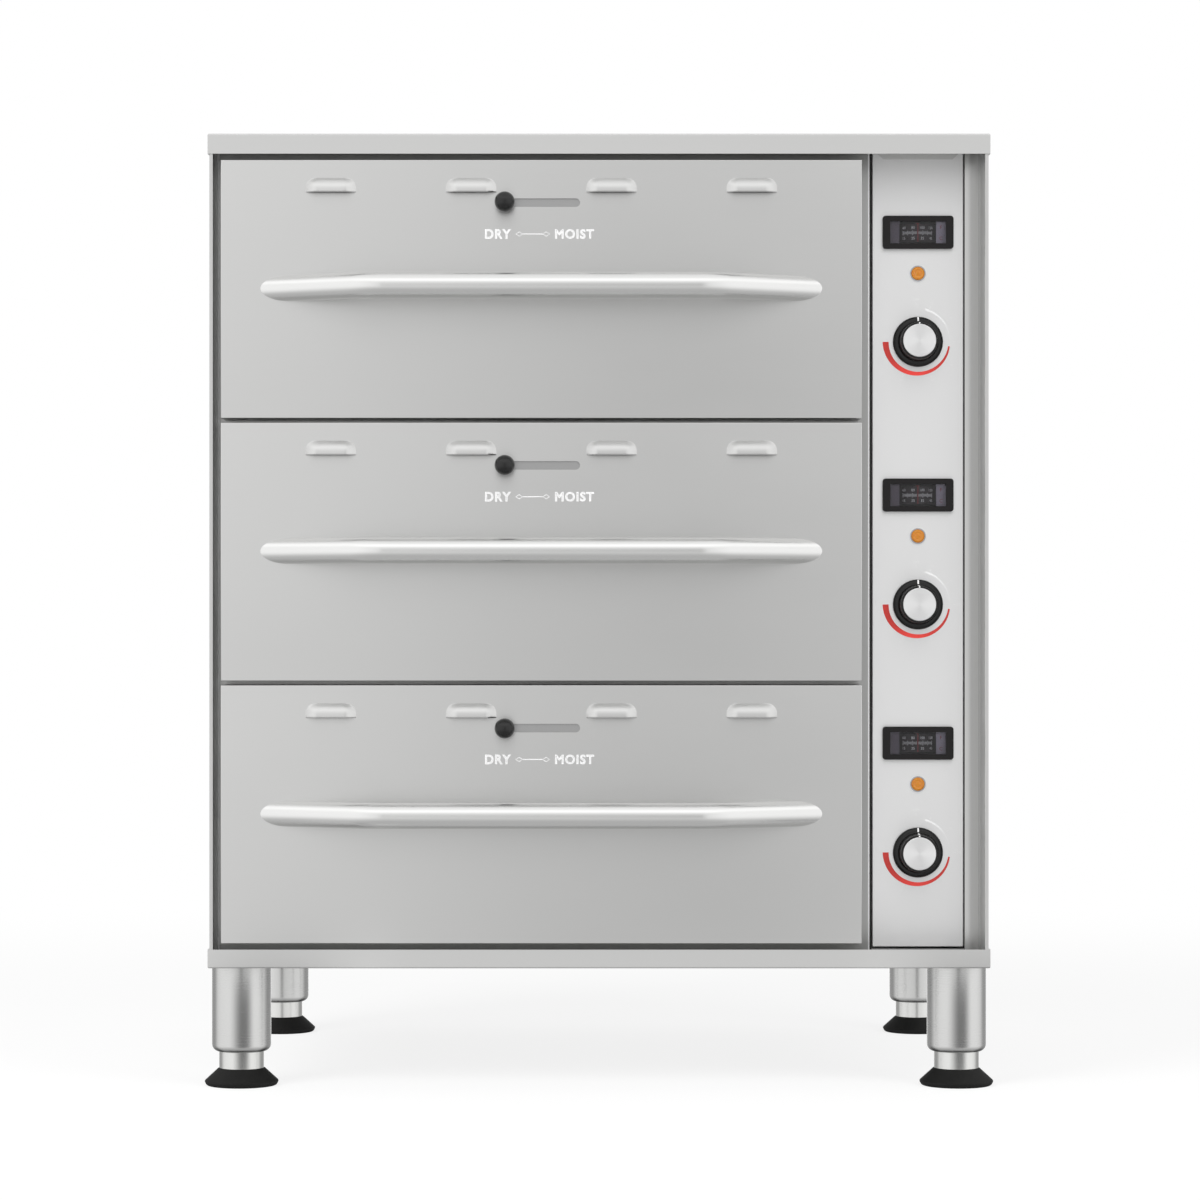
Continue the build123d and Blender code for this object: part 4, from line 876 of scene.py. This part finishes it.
for level in LEVELS:
    x, z = middle(f"thermometer_pointer_{level}")[0], drum_z(level)
    axis_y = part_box(f"thermometer_pointer_{level}")[0].y + DRUM_RADIUS + NEEDLE_GAP
    print_on_drum = []
    for index in range(4):
        place = (index - 1.5) * NUMBER_PITCH
        print_on_drum.append(lettering(str(60 + 20 * index), 2.5, place, ROW_HEIGHT))
        print_on_drum.append(lettering(str(15 + 10 * index), 2.5, place, -ROW_HEIGHT - 0.2))
    for place in range(-15, 16):
        tall = 2.2 * MM if place % 5 == 0 else 1.3 * MM
        print_on_drum.append(rectangle((place - 0.22) * MM, (place + 0.22) * MM, -tall, tall))
    piece(f"drum_print_{level}", *wrapped(merged(*print_on_drum), DRUM_RADIUS + 0.12 * MM), white_ink_and_painted_highlight, "root",
          "spun_aluminium", smooth=False, origin=(x, axis_y, z))
    plate_front = axis_y - DRUM_RADIUS + 0.2 * MM
    for word, x0, x1, finish in (("left", -PLATE_FAR, -PLATE_NEAR, plate_grey),
                                 ("right", PLATE_NEAR, PLATE_FAR, plate_lilac)):
        corners, quads = box_faces(x0, x1, 0, PLATE_SHEET, -PLATE_HALF_HEIGHT, PLATE_HALF_HEIGHT)
        piece(f"drum_plate_{word}_{level}", corners, quads, finish, "root", "dial_black", smooth=False,
              origin=(x, plate_front, z))
    units = merged(lettering("F", 3.4, 22.6, 5.2), lettering("C", 3.4, 22.6, -5.4))
    piece(f"unit_print_{level}", *units, dull_red_ink, "root", "pointer_red", smooth=False,
          origin=(x, plate_front - 0.06 * MM, z))
print("thermometer scales:", len(LEVELS))

# %% [markdown]
# ## Legs
# Each leg is a short tube with a rounded lower end. A stainless sleeve slides in it and carries a flared
# rubber foot, so a cook can level the cabinet by hand. All three are turned shapes. They are turned again
# here as separate pieces, because the way a brushed tube stretches its highlights follows its own axis.

# %% Legs, sleeves and feet
CORNERS = ("front_left", "front_right", "rear_left", "rear_right")
LEG_SIDES = 96
LEG_RADIUS, SLEEVE_RADIUS, FOOT_RADIUS, STUD_RADIUS = 28.5, 21.6, 36.0, 4.0
BORE_RADIUS = SLEEVE_RADIUS + 0.05
BORE_TOP, TUBE_TOP, SLEEVE_TOP, FOOT_TOP = 113.3, 116.3, 75.0, 17.0
leg_low, leg_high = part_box("leg_tubes")
tube_end, end_radius = leg_low.z / MM, LEG_RADIUS - BORE_RADIUS
tube = [(BORE_RADIUS, BORE_TOP), (BORE_RADIUS, tube_end)]
for k in range(13):
    turn = pi / 2 * k / 12
    tube.append((BORE_RADIUS + end_radius * sin(turn), tube_end + end_radius * (1 - cos(turn))))
tube += [(LEG_RADIUS, TUBE_TOP), (STUD_RADIUS, TUBE_TOP), (STUD_RADIUS, leg_high.z / MM)]
foot = rounded([(0, 0), (33.6, 0), (FOOT_RADIUS, 4.2), (SLEEVE_RADIUS + 0.4, FOOT_TOP), (0, FOOT_TOP)],
               1.6, 5)
for corner in CORNERS:
    x, y, _ = middle(f"leg_sleeve_{corner}")
    sleeve = [(SLEEVE_RADIUS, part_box(f"leg_foot_{corner}")[1].z / MM), (SLEEVE_RADIUS, SLEEVE_TOP - 0.8),
              (SLEEVE_RADIUS - 0.8, SLEEVE_TOP), (0, SLEEVE_TOP)]
    shapes = (("leg", tube, tube_steel, "root", "brushed_stainless"),
              ("sleeve", sleeve, sleeve_steel, f"foot_{corner}", "polished_stainless"),
              ("foot", foot, rubber, f"foot_{corner}", "rubber_black"))
    for name, profile, finish, body, slot in shapes:
        in_metres = [(radius * MM, height * MM) for radius, height in profile]
        made = piece(f"{name}_{corner}", *lathe(in_metres, LEG_SIDES), finish, body, slot, origin=(x, y, 0))
        if name != "leg":
            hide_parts(f"leg_{name}_{corner}")
        elif corner == "front_left":
            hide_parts("leg_tubes")
print("legs:", len(CORNERS))

# %% [markdown]
# ## Indicator lamps
# The lens is a moulded acrylic button, turned here with a low ring and a small dimple in its front. It stands
# in a narrow chromed ring.

# %% Lamps
LAMP_BELOW_DRUM = 39.7 * MM
LENS_PROFILE = ((6.5, -13.4), (6.5, 1.2), (5.6, 2.2), (4.4, 2.55), (3.0, 2.0), (1.6, 2.4), (0, 2.45))
lens_profile = rounded([(radius * MM, height * MM) for radius, height in LENS_PROFILE], 0.5 * MM)
lens_x = middle("indicator_lenses")[0]
lenses = [piece(f"lamp_lens_{level}", *lathe(lens_profile, 72, "front"), amber, "root", "amber_lens",
                origin=(lens_x, PANEL_Y, drum_z(level) - LAMP_BELOW_DRUM)) for level in LEVELS]
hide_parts("indicator_lenses")
print("lamps:", len(lenses))

# %% [markdown]
# ## Letters on the drawers
# Each drawer says which way the shutter slides. The two plain words stand as thin raised lines with a
# double arrow between them, and they catch the light more than they contrast in colour: their white is a
# painted highlight.

# %% Drawer lettering
WORDS_BELOW_TOP = 71.0
LETTER_HEIGHT, LETTER_LINE, LINE_RISE = 9.4, 0.13, 0.35 * MM


def tube_path(points, radius, closed=False):
    """A thin square-section line along points on the drawer's face, as vertices and faces."""
    vertices, faces = [], []
    count = len(points)
    for k, (x, z) in enumerate(points):
        before = points[(k - 1) % count] if closed or k else points[k]
        after = points[(k + 1) % count] if closed or k < count - 1 else points[k]
        along = Vector((after[0] - before[0], after[1] - before[1])).normalized()
        side = Vector((-along.y, along.x)) * radius
        vertices += [((x + side.x) * MM, 0, (z + side.y) * MM), ((x - side.x) * MM, 0, (z - side.y) * MM),
                     ((x - side.x * 0.5) * MM, -LINE_RISE, (z - side.y * 0.5) * MM),
                     ((x + side.x * 0.5) * MM, -LINE_RISE, (z + side.y * 0.5) * MM)]
    for k in range(count if closed else count - 1):
        a, b = 4 * k, 4 * ((k + 1) % count)
        for i in range(4):
            j = (i + 1) % 4
            faces.append((a + i, a + j, b + j, b + i))
    return vertices, faces


def diamond(x, z, half_width, half_height):
    """The four corners of an arrow head."""
    return [(x - half_width, z), (x, z + half_height), (x + half_width, z), (x, z - half_height)]


letters = [lettering("DRY", LETTER_HEIGHT, -96.6, 0, 25.0, outline=LETTER_LINE),
           lettering("MOIST", LETTER_HEIGHT, -23.4, 0, 37.4, outline=LETTER_LINE)]
arrow = [tube_path([(-74, 0), (-53, 0)], 0.5), tube_path(diamond(-76.4, 0, 3.2, 2.1), 0.4, True),
         tube_path(diamond(-50.6, 0, 3.2, 2.1), 0.4, True)]
for level in LEVELS:
    low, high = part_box(f"drawer_front_{level}")
    # The white on these raised lines is a painted highlight.
    piece(f"drawer_words_{level}", *merged(*letters, *arrow), white_ink_and_painted_highlight, f"drawer_{level}",
          "brushed_stainless", smooth=False,
          origin=(0, low.y + LOUVRE["proud"] * MM, high.z - WORDS_BELOW_TOP * MM))
print("drawer words:", len(LEVELS))

# %% [markdown]
# ## Floor, studio and light
# The studio is a plain white sweep: floor and background are white to the camera, and two large soft lamps
# light the object. Metal shows what stands round it more than its own colour, so the world as metal sees it
# is built with care: soft white walls at both sides and above, and a grey patch where the camera stands.

# %% Floor
SWEEP = 8.0
floor_mesh = bpy.data.meshes.new("floor")
floor_mesh.from_pydata([(-SWEEP, -SWEEP, 0), (SWEEP, -SWEEP, 0), (SWEEP, SWEEP, 0), (-SWEEP, SWEEP, 0)], [],
                       [(0, 1, 2, 3)])
floor = bpy.data.objects.new("floor", floor_mesh)
bpy.context.scene.collection.objects.link(floor)
paper, tree = bare_material("white_paper_sweep")
rays = add(tree, "LightPath").outputs
spot = add(tree, "TexCoord").outputs["Object"]
from_middle = add(tree, "VectorMath", {0: spot}, operation="LENGTH").outputs["Value"]
far = soft_step(tree, from_middle, 0.6, 2.2, 0.0, 1.0)
white_glow = add(tree, "Emission", {"Color": linear("ffffff"), "Strength": 1.0})
part_glow = add(tree, "Emission", {"Color": linear("ffffff"), "Strength": 0.80})
faint_paper = add(tree, "BsdfDiffuse", {"Color": (0.22, 0.22, 0.22, 1.0)})
near_paper = add(tree, "AddShader", {0: part_glow.outputs[0], 1: faint_paper.outputs[0]})
seen_paper = add(tree, "MixShader", {0: far, 1: near_paper.outputs[0], 2: white_glow.outputs[0]})
plain_paper = add(tree, "BsdfDiffuse", {"Color": linear("e4e4e4")})
seen = calc(tree, "MAXIMUM", rays["Is Camera Ray"], rays["Is Transmission Ray"])
mixed = add(tree, "MixShader", {0: seen, 1: plain_paper.outputs[0], 2: seen_paper.outputs[0]})
tree.links.new(mixed.outputs[0], tree.nodes["Material Output"].inputs["Surface"])
floor_mesh.materials.append(paper)
floor.visible_glossy = False

# %% [markdown]
# ## Flags
# Round metal looks round because of the dark line down its middle. A photographer gets it with a flag, a dark
# card that stands just outside the picture. One low card stands in front of each front leg. It shows in
# the steel alone, and casts no shadow.

# %% Flags in front of the legs
FLAG_DISTANCE = 0.10
FLAG_HALF_WIDTH = 0.11
FLAG_SHIFT = 0.026
FLAG_BOTTOM, FLAG_TOP = -0.01, 0.097
flag_grey, tree = bare_material("grey_flag_card")
along_card = add(tree, "SeparateXYZ", {0: add(tree, "TexCoord").outputs["Generated"]}).outputs["X"]
from_middle = calc(tree, "ABSOLUTE", calc(tree, "SUBTRACT", along_card, 0.5))
card = add(tree, "Emission", {"Color": linear("ffffff"),
                              "Strength": soft_step(tree, from_middle, 0.05, 0.5, 0.22, 1.0)})
tree.links.new(card.outputs[0], tree.nodes["Material Output"].inputs["Surface"])
for side in ("left", "right"):
    leg_low, leg_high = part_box(f"leg_sleeve_front_{side}")
    x, y = (leg_low.x + leg_high.x) / 2 + FLAG_SHIFT, leg_low.y - FLAG_DISTANCE
    flag_mesh = bpy.data.meshes.new(f"flag_{side}")
    corners = [(x - FLAG_HALF_WIDTH, y, FLAG_BOTTOM), (x + FLAG_HALF_WIDTH, y, FLAG_BOTTOM),
               (x + FLAG_HALF_WIDTH, y, FLAG_TOP), (x - FLAG_HALF_WIDTH, y, FLAG_TOP)]
    flag_mesh.from_pydata(corners, [], [(0, 1, 2, 3)])
    flag_mesh.materials.append(flag_grey)
    flag = bpy.data.objects.new(f"flag_{side}", flag_mesh)
    bpy.context.scene.collection.objects.link(flag)
    flag.visible_camera = flag.visible_diffuse = flag.visible_shadow = flag.visible_transmission = False

# %% World: a white studio as metal sees it
world = bpy.data.worlds.new("white_studio")
bpy.context.scene.world = world
world.use_nodes = True
tree = world.node_tree
axes = add(tree, "SeparateXYZ", {0: add(tree, "TexCoord").outputs["Generated"]}).outputs
front_half = soft_step(tree, axes["Y"], -0.15, 0.1, 1.0, 0.0)


def total(*values):
    """The sum of several values."""
    result = values[0]
    for value in values[1:]:
        result = calc(tree, "ADD", result, value)
    return result


def patch(x, z, width, height, strength):
    """A soft oval of light, or of shade if its strength is negative, on the studio's wall behind the camera.
    Its place and its size are parts of the direction's length: x to the right and z up."""
    across = calc(tree, "DIVIDE", calc(tree, "SUBTRACT", axes["X"], x), width)
    up = calc(tree, "DIVIDE", calc(tree, "SUBTRACT", axes["Z"], z), height)
    squares = total(*[calc(tree, "MULTIPLY", v, v) for v in (across, up)])
    oval = calc(tree, "EXPONENT", calc(tree, "MULTIPLY", squares, -1.0))
    return calc(tree, "MULTIPLY", calc(tree, "MULTIPLY", oval, front_half), strength)


def white_background(level):
    return add(tree, "Background", {"Color": linear("ffffff"), "Strength": level}).outputs[0]


PATCHES = {"camera": (0.06, -0.02, 0.13, 0.34, -0.55), "overhead": (0.0, 0.68, 0.9, 0.16, 0.50),
           "left wall": (-0.75, 0.1, 0.35, 0.6, 0.15), "right wall": (0.85, 0.1, 0.3, 0.6, 0.15)}
walls = soft_step(tree, axes["Y"], 0.1, 0.6, 1.0, 0.42)
behind = soft_step(tree, axes["Y"], 0.93, 0.99, 0.0, 0.68)
ground = soft_step(tree, axes["Z"], -0.75, -0.15, -0.46, 0.0)
studio = white_background(total(walls, behind, ground, *[patch(*values) for values in PATCHES.values()]))
plain, ambient = white_background(1.0), white_background(0.55)
rays = add(tree, "LightPath").outputs
glossy_or_not = add(tree, "MixShader", {0: rays["Is Glossy Ray"], 1: ambient, 2: studio})
seen = calc(tree, "MAXIMUM", rays["Is Camera Ray"], rays["Is Transmission Ray"])
sky = add(tree, "MixShader", {0: seen, 1: glossy_or_not.outputs[0], 2: plain})
tree.links.new(sky.outputs[0], tree.nodes["World Output"].inputs["Surface"])


# %% Soft lamps
def soft_lamp(name, place, size, power):
    """A large square lamp that points at the middle of the cabinet. Metal sees the studio instead of it."""
    data = bpy.data.lights.new(name, "AREA")
    data.size = size
    data.energy = power
    lamp = bpy.data.objects.new(name, data)
    lamp.location = place
    lamp.rotation_euler = (Vector((0, 0, 0.45)) - Vector(place)).to_track_quat("-Z", "Y").to_euler()
    lamp.visible_glossy = False
    bpy.context.scene.collection.objects.link(lamp)
    return lamp


soft_lamp("key_lamp", (-2.2, -2.8, 2.6), 2.0, 90)
soft_lamp("fill_lamp", (2.4, -2.6, 1.6), 2.0, 50)
print("lamps and world ready")
